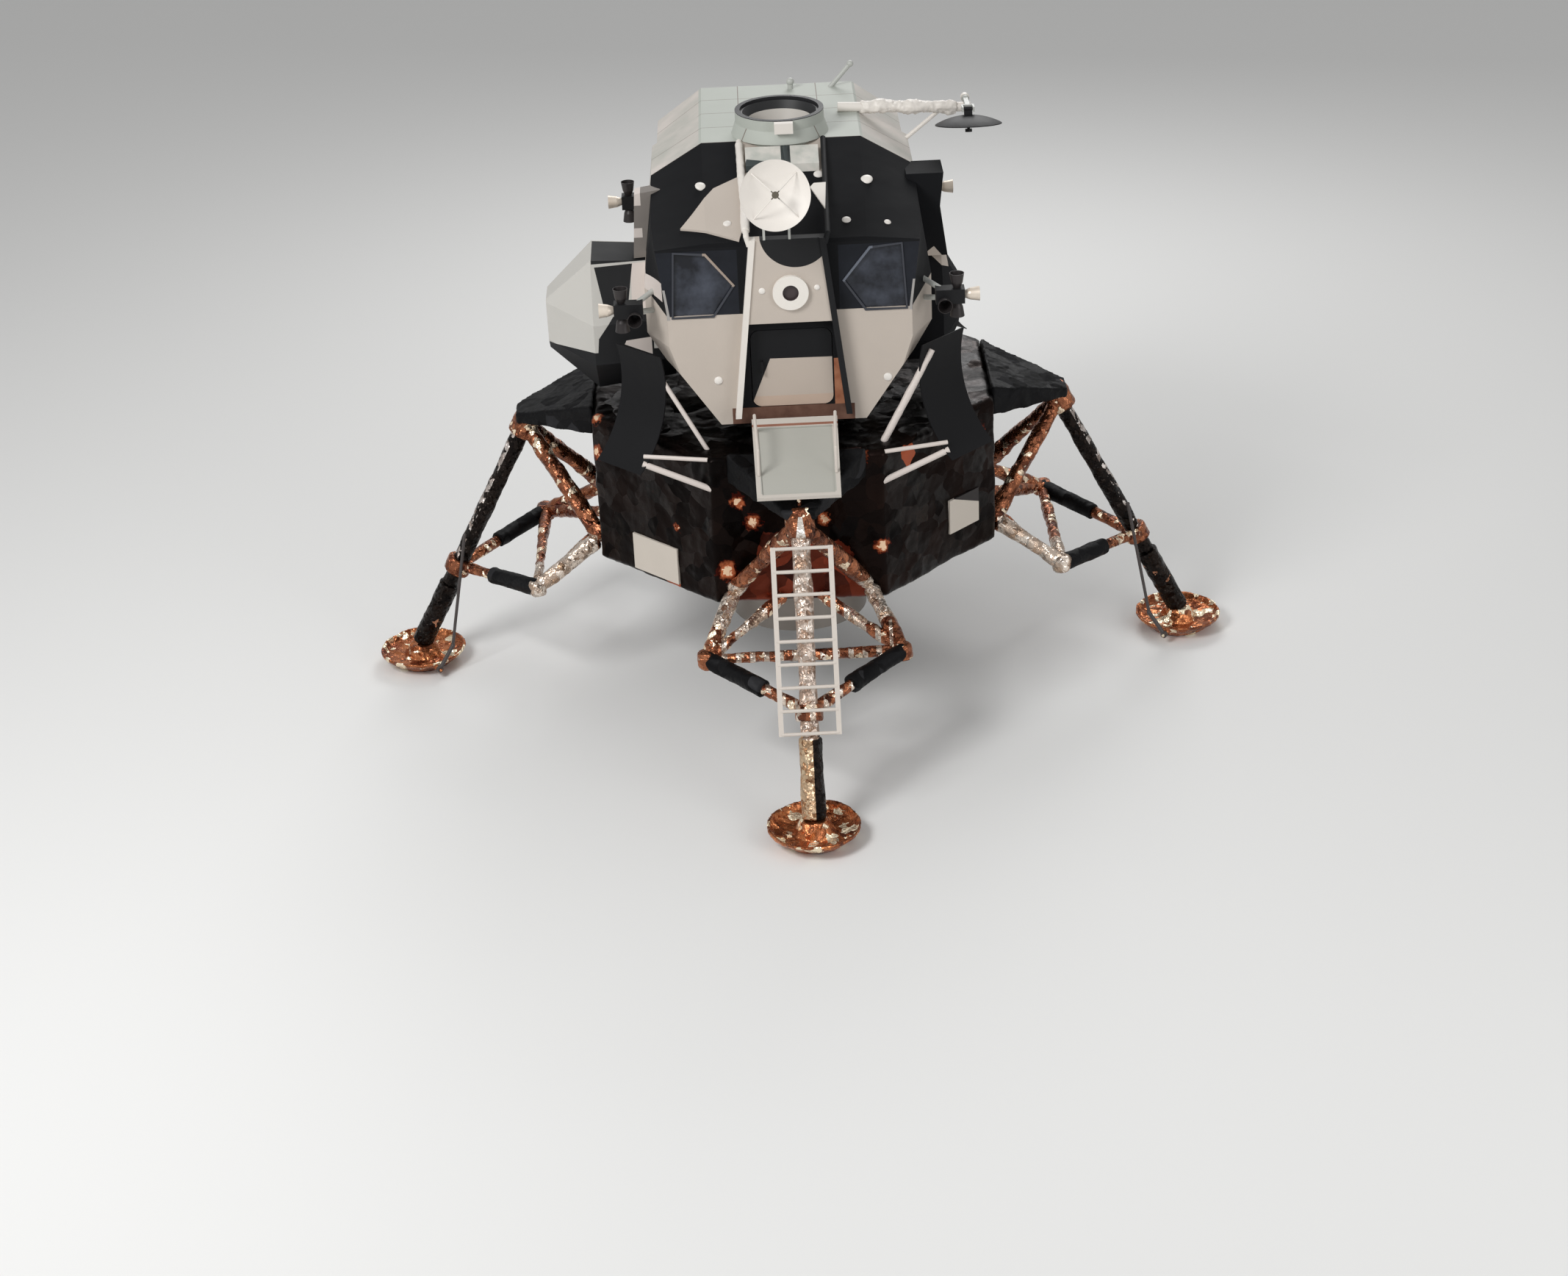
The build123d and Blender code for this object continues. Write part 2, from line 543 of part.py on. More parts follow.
# Ladder on the front leg
strut_normal = Vector(-strut_direction.Z, 0, strut_direction.X)
ladder_origin = Vector(*apex) + strut_normal * LADDER_STANDOFF
ladder_length = RUNG_SPACING * (RUNG_COUNT - 1)
ladder_start = strut_length - SLEEVE_LENGTH - LADDER_FOOT_GAP - ladder_length
rungs = []
rail_plane = Plane(origin=ladder_origin + strut_direction * (ladder_start + ladder_length / 2),
                   x_dir=(0, 1, 0), z_dir=strut_direction)
for side in (-1, 1):
    rungs.append(rail_plane * (Pos(side * LADDER_HALF_WIDTH, 0, 0) * Box(
        RAIL_WIDTH, RAIL_DEPTH, ladder_length + 2 * RUNG_RADIUS)))
for step in range(RUNG_COUNT):
    middle = ladder_origin + strut_direction * (ladder_start + step * RUNG_SPACING)
    rungs.append(rod(middle - Vector(0, LADDER_HALF_WIDTH, 0), middle + Vector(0, LADDER_HALF_WIDTH, 0),
                     RUNG_RADIUS))
ladder = rungs[0].fuse(*rungs[1:])
save(turned(ladder, 270.0), "ladder")

brackets = []
for share in LADDER_BRACKETS:
    middle = ladder_origin + strut_direction * (ladder_start + share * ladder_length)
    on_strut = middle - strut_normal * LADDER_STANDOFF
    for side in (-1, 1):
        rail_point = middle + Vector(0, side * (LADDER_HALF_WIDTH - RAIL_WIDTH / 2), 0)
        brackets.append(rod(on_strut, rail_point, RUNG_RADIUS) - ladder - rod(apex, foot, PRIMARY_RADIUS)
                        - sleeve - collar)
save(turned(Compound(brackets), 270.0), "ladder_brackets")

# Porch, a sloping deck in front of the hatch with a raised edge and two struts
porch_run = Vector(0, PORCH_FRONT_Y - PORCH_BACK_Y, PORCH_FRONT_Z - PORCH_BACK_Z)
porch_length = porch_run.length


def porch_point(x, run, lift):
    """A point on the porch: across, forward from its back edge, and above it."""
    forward = porch_run.normalized()
    up = Vector(0, -forward.Z, forward.Y)
    up = up if up.Z > 0 else up * -1
    return Vector(0, PORCH_BACK_Y, PORCH_BACK_Z) + Vector(x, 0, 0) + forward * run + up * lift


def porch_slab(half_back, half_front, start, end, low, high):
    corners = [(-half_back, start), (half_back, start), (half_front, end), (-half_front, end)]
    faces = [make_face(Polyline(*[porch_point(x, run, lift) for x, run in corners], close=True))
             for lift in (low, high)]
    return loft(faces, ruled=True)


porch = porch_slab(PORCH_HALF_BACK, PORCH_HALF_FRONT, 0, porch_length, 0, PORCH_THICKNESS)
recess = porch_slab(PORCH_HALF_BACK - 55, PORCH_HALF_FRONT - 55, 150, porch_length - 45,
                    PORCH_THICKNESS - 14, PORCH_THICKNESS + 1)
porch -= recess
save(porch, "porch")
rail_pieces = []
for side in (-1, 1):
    stations = [(PORCH_HALF_BACK - 30, 180, 0), (PORCH_HALF_BACK - 30, 250, 260),
                (PORCH_HALF_FRONT - 30, 760, 240), (PORCH_HALF_FRONT - 30, 860, 0)]
    points = [porch_point(side * x, run, PORCH_THICKNESS + lift) for x, run, lift in stations]
    bar = rod(points[0], points[1], HANDRAIL_RADIUS)
    for a, b in zip(points[1:], points[2:]):
        bar = bar + rod(a, b, HANDRAIL_RADIUS) + Pos(*a) * Sphere(HANDRAIL_RADIUS)
    rail_pieces.append(bar - porch)
save(Compound(rail_pieces), "porch_rails")

front_hood = turned(hood, 270.0)
supports = []
for x, y, reach in PORCH_POSTS:
    supports.append(Pos(x, y, STAGE_TOP - reach) * Cylinder(
        PORCH_POST_RADIUS, 600, align=(Align.CENTER, Align.CENTER, Align.MIN)))
porch_above = porch_slab(900, 900, -400, porch_length + 400, 0, 900)
supports = [(post - porch_above - stage - front_hood).solids().sort_by(Axis.Z)[-1] for post in supports]
save(Compound(supports), "porch_supports")

# Plume deflectors, curved plates below the quads, and the bars that hold them
def deflector_arc(inwards):
    return ThreePointArc(
        (DEFLECTOR_REACH_TOP - inwards, 0, DEFLECTOR_TOP),
        ((DEFLECTOR_REACH_TOP + DEFLECTOR_REACH_BOTTOM) / 2 - 0.951 * DEFLECTOR_SAG - inwards, 0,
         (DEFLECTOR_TOP + DEFLECTOR_BOTTOM) / 2 - 0.309 * DEFLECTOR_SAG),
        (DEFLECTOR_REACH_BOTTOM - inwards, 0, DEFLECTOR_BOTTOM))


front_arc = deflector_arc(0)
back_arc = deflector_arc(DEFLECTOR_THICKNESS)
deflector_face = make_face([front_arc, Line(front_arc @ 1, back_arc @ 1), back_arc,
                            Line(back_arc @ 0, front_arc @ 0)])
deflector = extrude(deflector_face, amount=DEFLECTOR_WIDTH / 2, dir=(0, 1, 0), both=True)
deflectors = all_round(deflector, (45.0, 135.0, 225.0, 315.0))
save(deflectors, "plume_deflectors")

bars = []
for corner, reach, side_offset, height, radius in DEFLECTOR_BARS:
    tip = (-(reach - side_offset) * math.sqrt(0.5), -(reach + side_offset) * math.sqrt(0.5), height)
    bar = rod(corner, tip, radius) - stage - deflectors
    bar = bar.solids().sort_by(SortBy.VOLUME)[-1]
    bars += [bar, mirror(bar, Plane.YZ), mirror(bar, Plane.XZ), turned(bar, 180.0)]
save(Compound(bars), "deflector_bars")

# Plates on the front diagonal faces
plates = []
for centre_x, centre_y, centre_z, width, height, turn in SIDE_PLATES:
    plates.append(Pos(centre_x, centre_y, centre_z) * Rot(0, 0, turn) * Pos(0, -PLATE_THICKNESS / 2, 0) * Box(
        width, PLATE_THICKNESS, height))
save(Compound([plate - stage for plate in plates]), "side_plates")

# Ascent stage outlines
midsection_outer = ruled([(BACK_OUTLINE, MID_FRONT_Y), (ROOF_OUTLINE, ROOF_START_Y), (ROOF_OUTLINE, MID_REAR_Y)])
cabin_outer = ruled([(FRONT_OUTLINE, FRONT_Y), (SHOULDER_OUTLINE, SHOULDER_Y), (BACK_OUTLINE, MID_FRONT_Y)])
aft_outer = ruled([(AFT_OUTLINE, MID_REAR_Y), (AFT_OUTLINE, AFT_BEVEL_Y), (REAR_OUTLINE, AFT_REAR_Y)])

fittings = [Pos(x, y, (STAGE_TOP + ASCENT_BOTTOM) / 2) * Box(160, 160, ASCENT_BOTTOM - STAGE_TOP)
            for x in (-560, 560) for y in (-200, 560)]
save(Compound(fittings), "interstage_fittings")

tunnel = Pos(0, 0, ROOF_Z - TUNNEL_DEPTH) * Cylinder(
    TUNNEL_RADIUS, TUNNEL_DEPTH + 400, align=(Align.CENTER, Align.CENTER, Align.MIN))
big = 5000.0
before_roof = Pos(0, ROOF_START_Y - big / 2, HOOD_SPLIT_Z + big / 2) * Box(big, big, big)
hood_back = (midsection_outer & before_roof) - tunnel
midsection = midsection_outer - before_roof - tunnel
save(midsection, "midsection")
save(aft_outer, "aft_equipment_bay")

# Crew cabin: a hollow shell, its front wall a slab of its own, its brow another
cabin_inner = ruled([(inset(FRONT_OUTLINE, CABIN_WALL), FRONT_Y - 1), (inset(SHOULDER_OUTLINE, CABIN_WALL), SHOULDER_Y),
                     (inset(BACK_OUTLINE, CABIN_WALL), MID_FRONT_Y + 1)])
wall_back = FRONT_Y + CABIN_WALL
ahead = Pos(0, wall_back - big / 2, ROOF_Z) * Box(big, big, 2 * big)
above = Pos(0, 0, HOOD_SPLIT_Z + big / 2) * Box(big, big, big)
cabin_front = (cabin_outer & ahead) - above
shell = cabin_outer - cabin_inner
shell -= ahead - above
cabin_hood = (shell & above) + hood_back
crew_cabin = shell - above


def front_prism(outline, start_y, end_y):
    """A block with an outline (x, z) that runs from one y to another."""
    face = make_face(Polyline(*[(x, start_y, z) for x, z in outline], close=True))
    return extrude(face, amount=end_y - start_y, dir=(0, 1, 0))


def hatch_block(side, corner, start_y, end_y):
    """A block with the hatch's rounded square outline."""
    block = Pos(0, (start_y + end_y) / 2, HATCH_FLOOR_Z + HATCH_SIDE / 2) * Box(side, end_y - start_y, side)
    return fillet(block.edges().filter_by(Axis.Y), corner)


cabin_front -= hatch_block(HATCH_SIDE + 2 * HATCH_PLAY, HATCH_CORNER + HATCH_PLAY, FRONT_Y - 50, wall_back + 50)
panes = []
for side in (-1, 1):
    outline = [(side * x, z) for x, z in WINDOW_OUTLINE]
    cabin_front -= front_prism(outline, FRONT_Y - 20, wall_back + 20)
    panes.append(front_prism(outline, FRONT_Y + WINDOW_RECESS, FRONT_Y + WINDOW_RECESS + PANE_THICKNESS))
save(Compound(panes), "front_windows")
save(cabin_hood, "cabin_hood")
brow_plan = make_face(Polyline(*[(x, y, HOOD_SPLIT_Z) for x, y in BROW_PANEL], close=True))
brow_panel = (extrude(brow_plan, amount=big, dir=(0, 0, 1)) & (Pos(0, 0, BROW_PANEL_THICKNESS) * cabin_outer))
save(brow_panel - cabin_outer, "brow_panel")

# Forward hatch on a hinge inside the front wall
hatch_front = FRONT_Y + 8
hatch = hatch_block(HATCH_SIDE, HATCH_CORNER, hatch_front, hatch_front + HATCH_THICKNESS)
hatch_back = hatch_front + HATCH_THICKNESS
lugs = []
for z in HATCH_HINGE_Z:
    strap = Pos(HATCH_HINGE_X - 40, HATCH_HINGE_Y, z) * Box(80, 20, HATCH_KNUCKLE)
    pad_block = Pos(HATCH_HINGE_X - 65, (hatch_back + HATCH_HINGE_Y) / 2, z) * Box(
        30, HATCH_HINGE_Y - hatch_back, HATCH_KNUCKLE)
    knuckle = Pos(HATCH_HINGE_X, HATCH_HINGE_Y, z) * Cylinder(HATCH_KNUCKLE_RADIUS, HATCH_KNUCKLE)
    hatch = hatch + strap + pad_block + knuckle
    hatch -= Pos(HATCH_HINGE_X, HATCH_HINGE_Y, z) * Cylinder(HATCH_PIN_RADIUS + PIN_CLEARANCE, 4 * HATCH_KNUCKLE)
    lug = Pos(HATCH_HINGE_X, HATCH_HINGE_Y, z) * Cylinder(HATCH_PIN_RADIUS, HATCH_KNUCKLE + 60)
    for side in (-1, 1):
        lug += Pos(HATCH_HINGE_X + 10, (wall_back + HATCH_HINGE_Y + 15) / 2, z + side * (HATCH_KNUCKLE / 2 + 18)) * Box(
            50, HATCH_HINGE_Y + 15 - wall_back, 24)
    lugs.append(lug)
handle_y = hatch_front - HANDLE_REACH
handle = rod((HANDLE_X, handle_y, HANDLE_LOW), (HANDLE_X, handle_y, HANDLE_LOW + HANDLE_LENGTH), HANDLE_RADIUS)
for z in (HANDLE_LOW + HANDLE_RADIUS, HANDLE_LOW + HANDLE_LENGTH - HANDLE_RADIUS):
    handle += rod((HANDLE_X, handle_y, z), (HANDLE_X, hatch_front + 5, z), 0.9 * HANDLE_RADIUS)
save(hatch + handle, "forward_hatch")
save(Compound(lugs), "hatch_hinges")
save(cabin_front, "cabin_front")
save(crew_cabin, "crew_cabin")

# Nose between the windows: two beams, the panel they carry and its ring light
beams = []
for side in (-1, 1):
    outline = [(side * (NOSE_TOP_X - NOSE_BEAM / 2), NOSE_TOP_Z), (side * (NOSE_TOP_X + NOSE_BEAM / 2), NOSE_TOP_Z),
               (side * (NOSE_FOOT_X + NOSE_BEAM / 2), NOSE_FOOT_Z), (side * (NOSE_FOOT_X - NOSE_BEAM / 2), NOSE_FOOT_Z)]
    beams.append(front_prism(outline, FRONT_Y - NOSE_DEPTH, FRONT_Y))
save(Compound([beam - cabin_hood for beam in beams]), "nose_beams")
panel_foot_x = NOSE_TOP_X + (NOSE_TOP_Z - NOSE_PANEL_Z) / (NOSE_TOP_Z - NOSE_FOOT_Z) * (NOSE_FOOT_X - NOSE_TOP_X)
half = NOSE_BEAM / 2
nose_panel = front_prism(
    [(-NOSE_TOP_X + half, NOSE_TOP_Z), (NOSE_TOP_X - half, NOSE_TOP_Z), (panel_foot_x - half, NOSE_PANEL_Z),
     (-panel_foot_x + half, NOSE_PANEL_Z)], FRONT_Y - NOSE_DEPTH + 18, FRONT_Y)
lamp_place = Pos(LAMP_X, FRONT_Y - NOSE_DEPTH + 18, LAMP_Z) * Rot(90, 0, 0)
nose_panel = (nose_panel - cabin_hood).solids().sort_by(SortBy.VOLUME)[-1]
save(nose_panel, "nose_panel")
lamp = lamp_place * (Cylinder(LAMP_RADIUS, LAMP_DEPTH, align=(Align.CENTER, Align.CENTER, Align.MIN))
                     - Pos(0, 0, 8) * Cylinder(LAMP_HOLE, LAMP_DEPTH, align=(Align.CENTER, Align.CENTER, Align.MIN)))
save(lamp, "docking_light")

# Docking collar round the tunnel mouth
skirt = revolve(make_face(Polyline((TUNNEL_RADIUS, 0, ROOF_Z), (SKIRT_RADIUS, 0, ROOF_Z),
                                   (TUNNEL_RING_RADIUS, 0, RING_BOTTOM), (TUNNEL_RADIUS, 0, RING_BOTTOM),
                                   close=True)), Axis.Z)
neck = Pos(0, 0, ROOF_Z - SKIRT_HEIGHT) * (
    Cylinder(TUNNEL_RING_RADIUS, SKIRT_HEIGHT + 5, align=(Align.CENTER, Align.CENTER, Align.MIN))
    - Cylinder(TUNNEL_RADIUS, SKIRT_HEIGHT + 5, align=(Align.CENTER, Align.CENTER, Align.MIN)))
neck = neck - midsection_outer
skirt = (skirt + neck).solids().sort_by(SortBy.VOLUME)[-1]
save(skirt, "tunnel_skirt")
ring = Pos(0, 0, RING_BOTTOM) * (
    Cylinder(TUNNEL_RING_RADIUS, TUNNEL_TOP - RING_BOTTOM, align=(Align.CENTER, Align.CENTER, Align.MIN))
    - Cylinder(TUNNEL_RADIUS, TUNNEL_TOP - RING_BOTTOM, align=(Align.CENTER, Align.CENTER, Align.MIN)))
fitting_x, fitting_width, fitting_depth, fitting_height = RING_FITTING
fitting = Pos(fitting_x, -TUNNEL_RADIUS - fitting_depth / 2, TUNNEL_TOP - RING_FITTING_DROP - fitting_height / 2) * Box(
    fitting_width, fitting_depth, fitting_height)
fitting = (fitting - skirt - Cylinder(TUNNEL_RING_RADIUS - 5, 4 * ROOF_Z)).solids()[0]
save(ring + fitting, "docking_ring")
rim = TUNNEL_RADIUS - 0.2
drogue = revolve(make_face(Polyline(
    (rim, 0, TUNNEL_TOP - 60), (rim, 0, TUNNEL_TOP - 30), (rim - 25, 0, TUNNEL_TOP - 30),
    (DROGUE_THROAT, 0, TUNNEL_TOP - DROGUE_DEPTH), (DROGUE_THROAT + 14, 0, TUNNEL_TOP - DROGUE_DEPTH - 6),
    close=True)), Axis.Z)
save(drogue, "docking_drogue")

# Tank covers, faceted bulges on both sides, and the side bays above them
body = [cabin_outer, midsection_outer, aft_outer]
covers = {}
for name, stations in TANK_COVERS:
    cover = loft([make_face(Polyline(*[(x, y, z) for y, z in corners], close=True)) for x, corners in stations],
                 ruled=True)
    for solid in body:
        cover -= solid
    covers[name] = cover.solids().sort_by(SortBy.VOLUME)[-1]
    save(covers[name], f"{name}_tank_cover")
for name, outline, depth in SIDE_BAYS:
    bay = front_prism(outline, MID_FRONT_Y, MID_FRONT_Y + depth) - midsection_outer - covers[name]
    save(bay.solids().sort_by(SortBy.VOLUME)[-1], f"{name}_side_bay")

# Thruster quads, their nozzles and their booms
nozzle_wall = make_face(Polyline(
    (QUAD_NOZZLE_THROAT, 0, 0), (QUAD_NOZZLE_THROAT + QUAD_NOZZLE_WALL + 8, 0, 0),
    (QUAD_NOZZLE_EXIT * 0.8, 0, 55), (QUAD_NOZZLE_EXIT, 0, QUAD_NOZZLE_TIP - QUAD_BODY / 2),
    (QUAD_NOZZLE_EXIT - QUAD_NOZZLE_WALL, 0, QUAD_NOZZLE_TIP - QUAD_BODY / 2),
    (QUAD_NOZZLE_EXIT * 0.8 - QUAD_NOZZLE_WALL, 0, 55), close=True))
thruster = revolve(nozzle_wall, Axis.Z)
quads, thrusters, booms = [], [], []
for x_side in (-1, 1):
    for y_side in (-1, 1):
        centre = Vector(x_side * QUAD_XY, y_side * QUAD_XY, QUAD_Z)
        quad_width = QUAD_INBOARD + QUAD_BODY / 2
        quad = Pos(centre - Vector(x_side * (quad_width - QUAD_BODY) / 2, 0, 0)) * Box(
            quad_width, QUAD_BODY, QUAD_BODY)
        quads.append(quad)
        inboard = Vector(-x_side * QUAD_FORWARD_OFFSET, 0, -QUAD_FORWARD_DROP)
        for direction, shift in (((0, 0, 1), 0), ((0, 0, -1), 0), ((x_side, 0, 0), 0), ((0, y_side, 0), 1)):
            place = Plane(origin=centre + inboard * shift + Vector(*direction) * QUAD_BODY / 2, z_dir=direction)
            thrusters.append(place * thruster)
        root_y = BOOM_ROOT_FRONT_Y if y_side < 0 else BOOM_ROOT_REAR_Y
        for root_z in BOOM_ROOT_Z:
            root = (x_side * BOOM_ROOT_X, root_y, root_z)
            end = centre + Vector(-x_side * QUAD_INBOARD / 2, 0, 0.2 * (root_z - QUAD_Z) / abs(root_z - QUAD_Z) * QUAD_BODY)
            boom = rod(root, end, BOOM_RADIUS) - quad - cabin_outer - aft_outer
            booms.append(boom.solids().sort_by(SortBy.VOLUME)[-1])
save(Compound(quads), "thruster_quads")
save(Compound(thrusters), "thruster_nozzles")
save(Compound(booms), "quad_booms")

# Rendezvous radar: a frame over the brow, ears, a trunnion block and the dish
pivot = Vector(*RADAR_PIVOT)
frame_tubes = []
for side in (-1, 1):
    tube = rod((side * 430, ROOF_START_Y - 20, ROOF_Z + 5), (side * 400, FRONT_Y - 100, NOSE_TOP_Z + 40), 28)
    tube = tube - midsection_outer - cabin_hood
    post = rod((side * 400, FRONT_Y - 100, NOSE_TOP_Z + 40), (side * 372, FRONT_Y - 100, NOSE_TOP_Z - 60), 28)
    tube = (tube + post + Pos(side * 400, FRONT_Y - 100, NOSE_TOP_Z + 40) * Sphere(28)) - Compound(beams) - nose_panel
    frame_tubes.append(tube.solids().sort_by(SortBy.VOLUME)[-1])
save(Compound(frame_tubes), "radar_frame")
base_face = make_face(Polyline(*[(-RADAR_BASE_HALF, y, z) for y, z in RADAR_BASE], close=True))
radar_base = extrude(base_face, amount=2 * RADAR_BASE_HALF, dir=(1, 0, 0)) - cabin_hood - skirt - fitting
conduit = rod(*RADAR_CONDUIT, RADAR_CONDUIT_RADIUS) - cabin_hood - skirt - fitting
radar_base = (radar_base - conduit).solids().sort_by(SortBy.VOLUME)[-1]
save(Compound([radar_base, conduit.solids().sort_by(SortBy.VOLUME)[-1]]), "radar_base")
ears = []
for side in (-1, 1):
    x = RADAR_PIVOT[0] + side * RADAR_EAR_SPACING
    outline = [(FRONT_Y - 125, NOSE_TOP_Z), (FRONT_Y - 15, NOSE_TOP_Z), (pivot.Y + 45, pivot.Z + 25),
               (pivot.Y + 20, pivot.Z + 45), (pivot.Y - 45, pivot.Z + 45), (pivot.Y - 45, pivot.Z - 45)]
    ear_face = make_face(Polyline(*[(x, y, z) for y, z in outline], close=True))
    ear = extrude(ear_face, amount=RADAR_EAR / 2, dir=(1, 0, 0), both=True)
    ear -= rod((x - 60, pivot.Y, pivot.Z), (x + 60, pivot.Y, pivot.Z), RADAR_PIN + PIN_CLEARANCE)
    ears.append(ear - cabin_hood)
save(Compound(ears), "radar_ears")
radar_up = math.radians(RADAR_TILT)
look = Vector(0, -math.cos(radar_up), math.sin(radar_up))
upright = Vector(0, math.sin(radar_up), math.cos(radar_up))
radar_frame = Plane(origin=pivot, x_dir=(1, 0, 0), z_dir=upright)
block = radar_frame * Box(RADAR_BLOCK, RADAR_BLOCK, RADAR_BLOCK)
block += rod(pivot - Vector(RADAR_EAR_SPACING + RADAR_EAR / 2, 0, 0), pivot + Vector(RADAR_EAR_SPACING + RADAR_EAR / 2, 0, 0),
             RADAR_PIN)
block -= radar_frame * Cylinder(RADAR_SPINDLE + PIN_CLEARANCE, 2 * RADAR_BLOCK)
save(block, "radar_yoke")


def bowl(radius, depth, reach, wall):
    """A dish of revolution that opens towards +Z, its rim at the given reach."""
    flat = [(radius * share, reach - depth + depth * share * share) for share in (0.0, 0.5, 1.0)]
    front = ThreePointArc(*[(r, 0, z) for r, z in flat])
    back = ThreePointArc(*[(r, 0, z - wall) for r, z in reversed(flat)])
    face = make_face([front, Line(front @ 1, back @ 0), back, Line(back @ 1, front @ 0)])
    return revolve(face, Axis.Z)


look_plane = Plane(origin=pivot, x_dir=(1, 0, 0), z_dir=look)
dish = bowl(RADAR_DISH_RADIUS, RADAR_DISH_DEPTH, RADAR_DISH_REACH, DISH_WALL)
dish += Pos(0, 0, (RADAR_FORK_REACH + RADAR_DISH_REACH - RADAR_DISH_DEPTH) / 2) * Cylinder(
    28, RADAR_DISH_REACH - RADAR_DISH_DEPTH - RADAR_FORK_REACH)
arm_lift = RADAR_BLOCK / 2 + 6 + RADAR_FORK / 2
for side in (-1, 1):
    dish += Pos(0, side * arm_lift, (RADAR_FORK_REACH - 28) / 2) * Box(50, RADAR_FORK, RADAR_FORK_REACH + 28)
dish += Pos(0, 0, RADAR_FORK_REACH - 8) * Box(50, 2 * arm_lift + RADAR_FORK, 16)
dish += Rot(90, 0, 0) * Cylinder(RADAR_SPINDLE, 2 * arm_lift)
feed_z = RADAR_DISH_REACH + FEED_REACH
for turn in (0.0, 90.0, 180.0, 270.0):
    dish += Rot(0, 0, turn + 45.0) * rod((RADAR_DISH_RADIUS * 0.9, 0, RADAR_DISH_REACH - 25), (0, 0, feed_z), 6)
dish += Pos(0, 0, feed_z) * Cylinder(34, 60)
save(look_plane * dish, "radar_dish")

# Steerable antenna: a boom from the roof, a rolling fork and the dish that tilts in it
boom_y = STEER_BOOM_Y
bearing = Vector(STEER_PIVOT[0], STEER_BEARING_Y, STEER_PIVOT[2])
boom = rod((STEER_ROOT_X - 200, boom_y, STEER_ROOT_Z + 5), (STEER_TIP_X, boom_y, STEER_TIP_Z), STEER_BOOM_RADIUS)
boom = (boom + rod(*STEER_BRACE, STEER_BRACE_RADIUS)) - midsection_outer
boom += rod((STEER_PIVOT[0] + 20, boom_y - 8, STEER_TIP_Z + 20), bearing, 30)
boom += Pos(bearing) * Rot(90, 0, 0) * Cylinder(45, 60)
boom -= Pos(bearing) * Rot(90, 0, 0) * Cylinder(STEER_SPINDLE + PIN_CLEARANCE, 200)
save(boom, "antenna_boom")
steer = Vector(*STEER_PIVOT)
roll_out = math.degrees(math.atan2(STEER_NORMAL[0], -STEER_NORMAL[2]))
tilt_out = math.degrees(math.asin(STEER_NORMAL[1]))
steer_frame = Pos(steer) * Rot(0, -roll_out, 0)
hub_y = STEER_BEARING_Y - STEER_PIVOT[1] - 30 - 6
fork = Pos(0, hub_y - 15, 0) * Rot(90, 0, 0) * Cylinder(38, 30)
fork += Pos(0, hub_y + 30, 0) * Rot(90, 0, 0) * Cylinder(STEER_SPINDLE, 60)
fork += Pos(0, (hub_y + 60) / 2, 0) * Box(46, hub_y - 60, 46)
fork += Pos(0, 70, 0) * Box(2 * STEER_CHEEK_OUT, 20, 52)
for side in (-1, 1):
    cheek_x = side * (STEER_CHEEK_IN + STEER_CHEEK_OUT) / 2
    fork += Pos(cheek_x, 22, 0) * Box(STEER_CHEEK_OUT - STEER_CHEEK_IN, 100, 52)
fork += Rot(0, 90, 0) * Cylinder(STEER_PIN, 2 * STEER_CHEEK_IN + 10)
save(steer_frame * fork, "antenna_fork")
tilted = steer_frame * Rot(tilt_out, 0, 0) * Rot(180, 0, 0)
steer_dish = bowl(STEER_DISH_RADIUS, STEER_DISH_DEPTH, STEER_DISH_REACH, DISH_WALL)
steer_dish += Rot(0, 90, 0) * Cylinder(STEER_LUG, 2 * (STEER_CHEEK_IN - 6))
steer_dish += Pos(0, 0, (STEER_DISH_REACH - STEER_DISH_DEPTH) / 2) * Box(
    2 * (STEER_CHEEK_IN - 6), 36, STEER_DISH_REACH - STEER_DISH_DEPTH)
steer_dish -= Rot(0, 90, 0) * Cylinder(STEER_PIN + PIN_CLEARANCE, 4 * STEER_CHEEK_IN)
steer_dish += rod((0, 0, STEER_DISH_REACH - STEER_DISH_DEPTH - DISH_WALL), (0, 0, STEER_DISH_REACH + 60), 14)
steer_dish += Pos(0, 0, STEER_DISH_REACH + 60) * Cylinder(36, 30)
save(tilted * steer_dish, "antenna_dish")

# Small fixed antennas on the roof
aerials = []
for start, end, radius in AERIALS:
    aerial = rod(start, end, radius) + Pos(*end) * Sphere(radius * 1.4)
    aerials.append((aerial - midsection_outer - aft_outer).solids().sort_by(SortBy.VOLUME)[-1])
save(Compound(aerials), "roof_aerials")
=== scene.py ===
import math

import bmesh
import bpy
from mathutils import Matrix, Vector, noise


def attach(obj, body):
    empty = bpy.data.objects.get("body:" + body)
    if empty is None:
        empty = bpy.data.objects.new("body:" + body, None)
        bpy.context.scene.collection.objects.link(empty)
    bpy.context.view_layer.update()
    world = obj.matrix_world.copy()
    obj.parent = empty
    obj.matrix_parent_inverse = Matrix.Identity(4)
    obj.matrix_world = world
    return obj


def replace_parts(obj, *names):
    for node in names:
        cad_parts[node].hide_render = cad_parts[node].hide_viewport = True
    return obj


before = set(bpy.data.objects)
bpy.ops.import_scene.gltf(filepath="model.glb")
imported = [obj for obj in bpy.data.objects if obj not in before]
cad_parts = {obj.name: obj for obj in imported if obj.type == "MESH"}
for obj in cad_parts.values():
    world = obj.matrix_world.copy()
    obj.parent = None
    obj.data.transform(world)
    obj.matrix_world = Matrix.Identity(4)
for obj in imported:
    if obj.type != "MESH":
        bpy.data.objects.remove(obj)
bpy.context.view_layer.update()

scene = bpy.context.scene

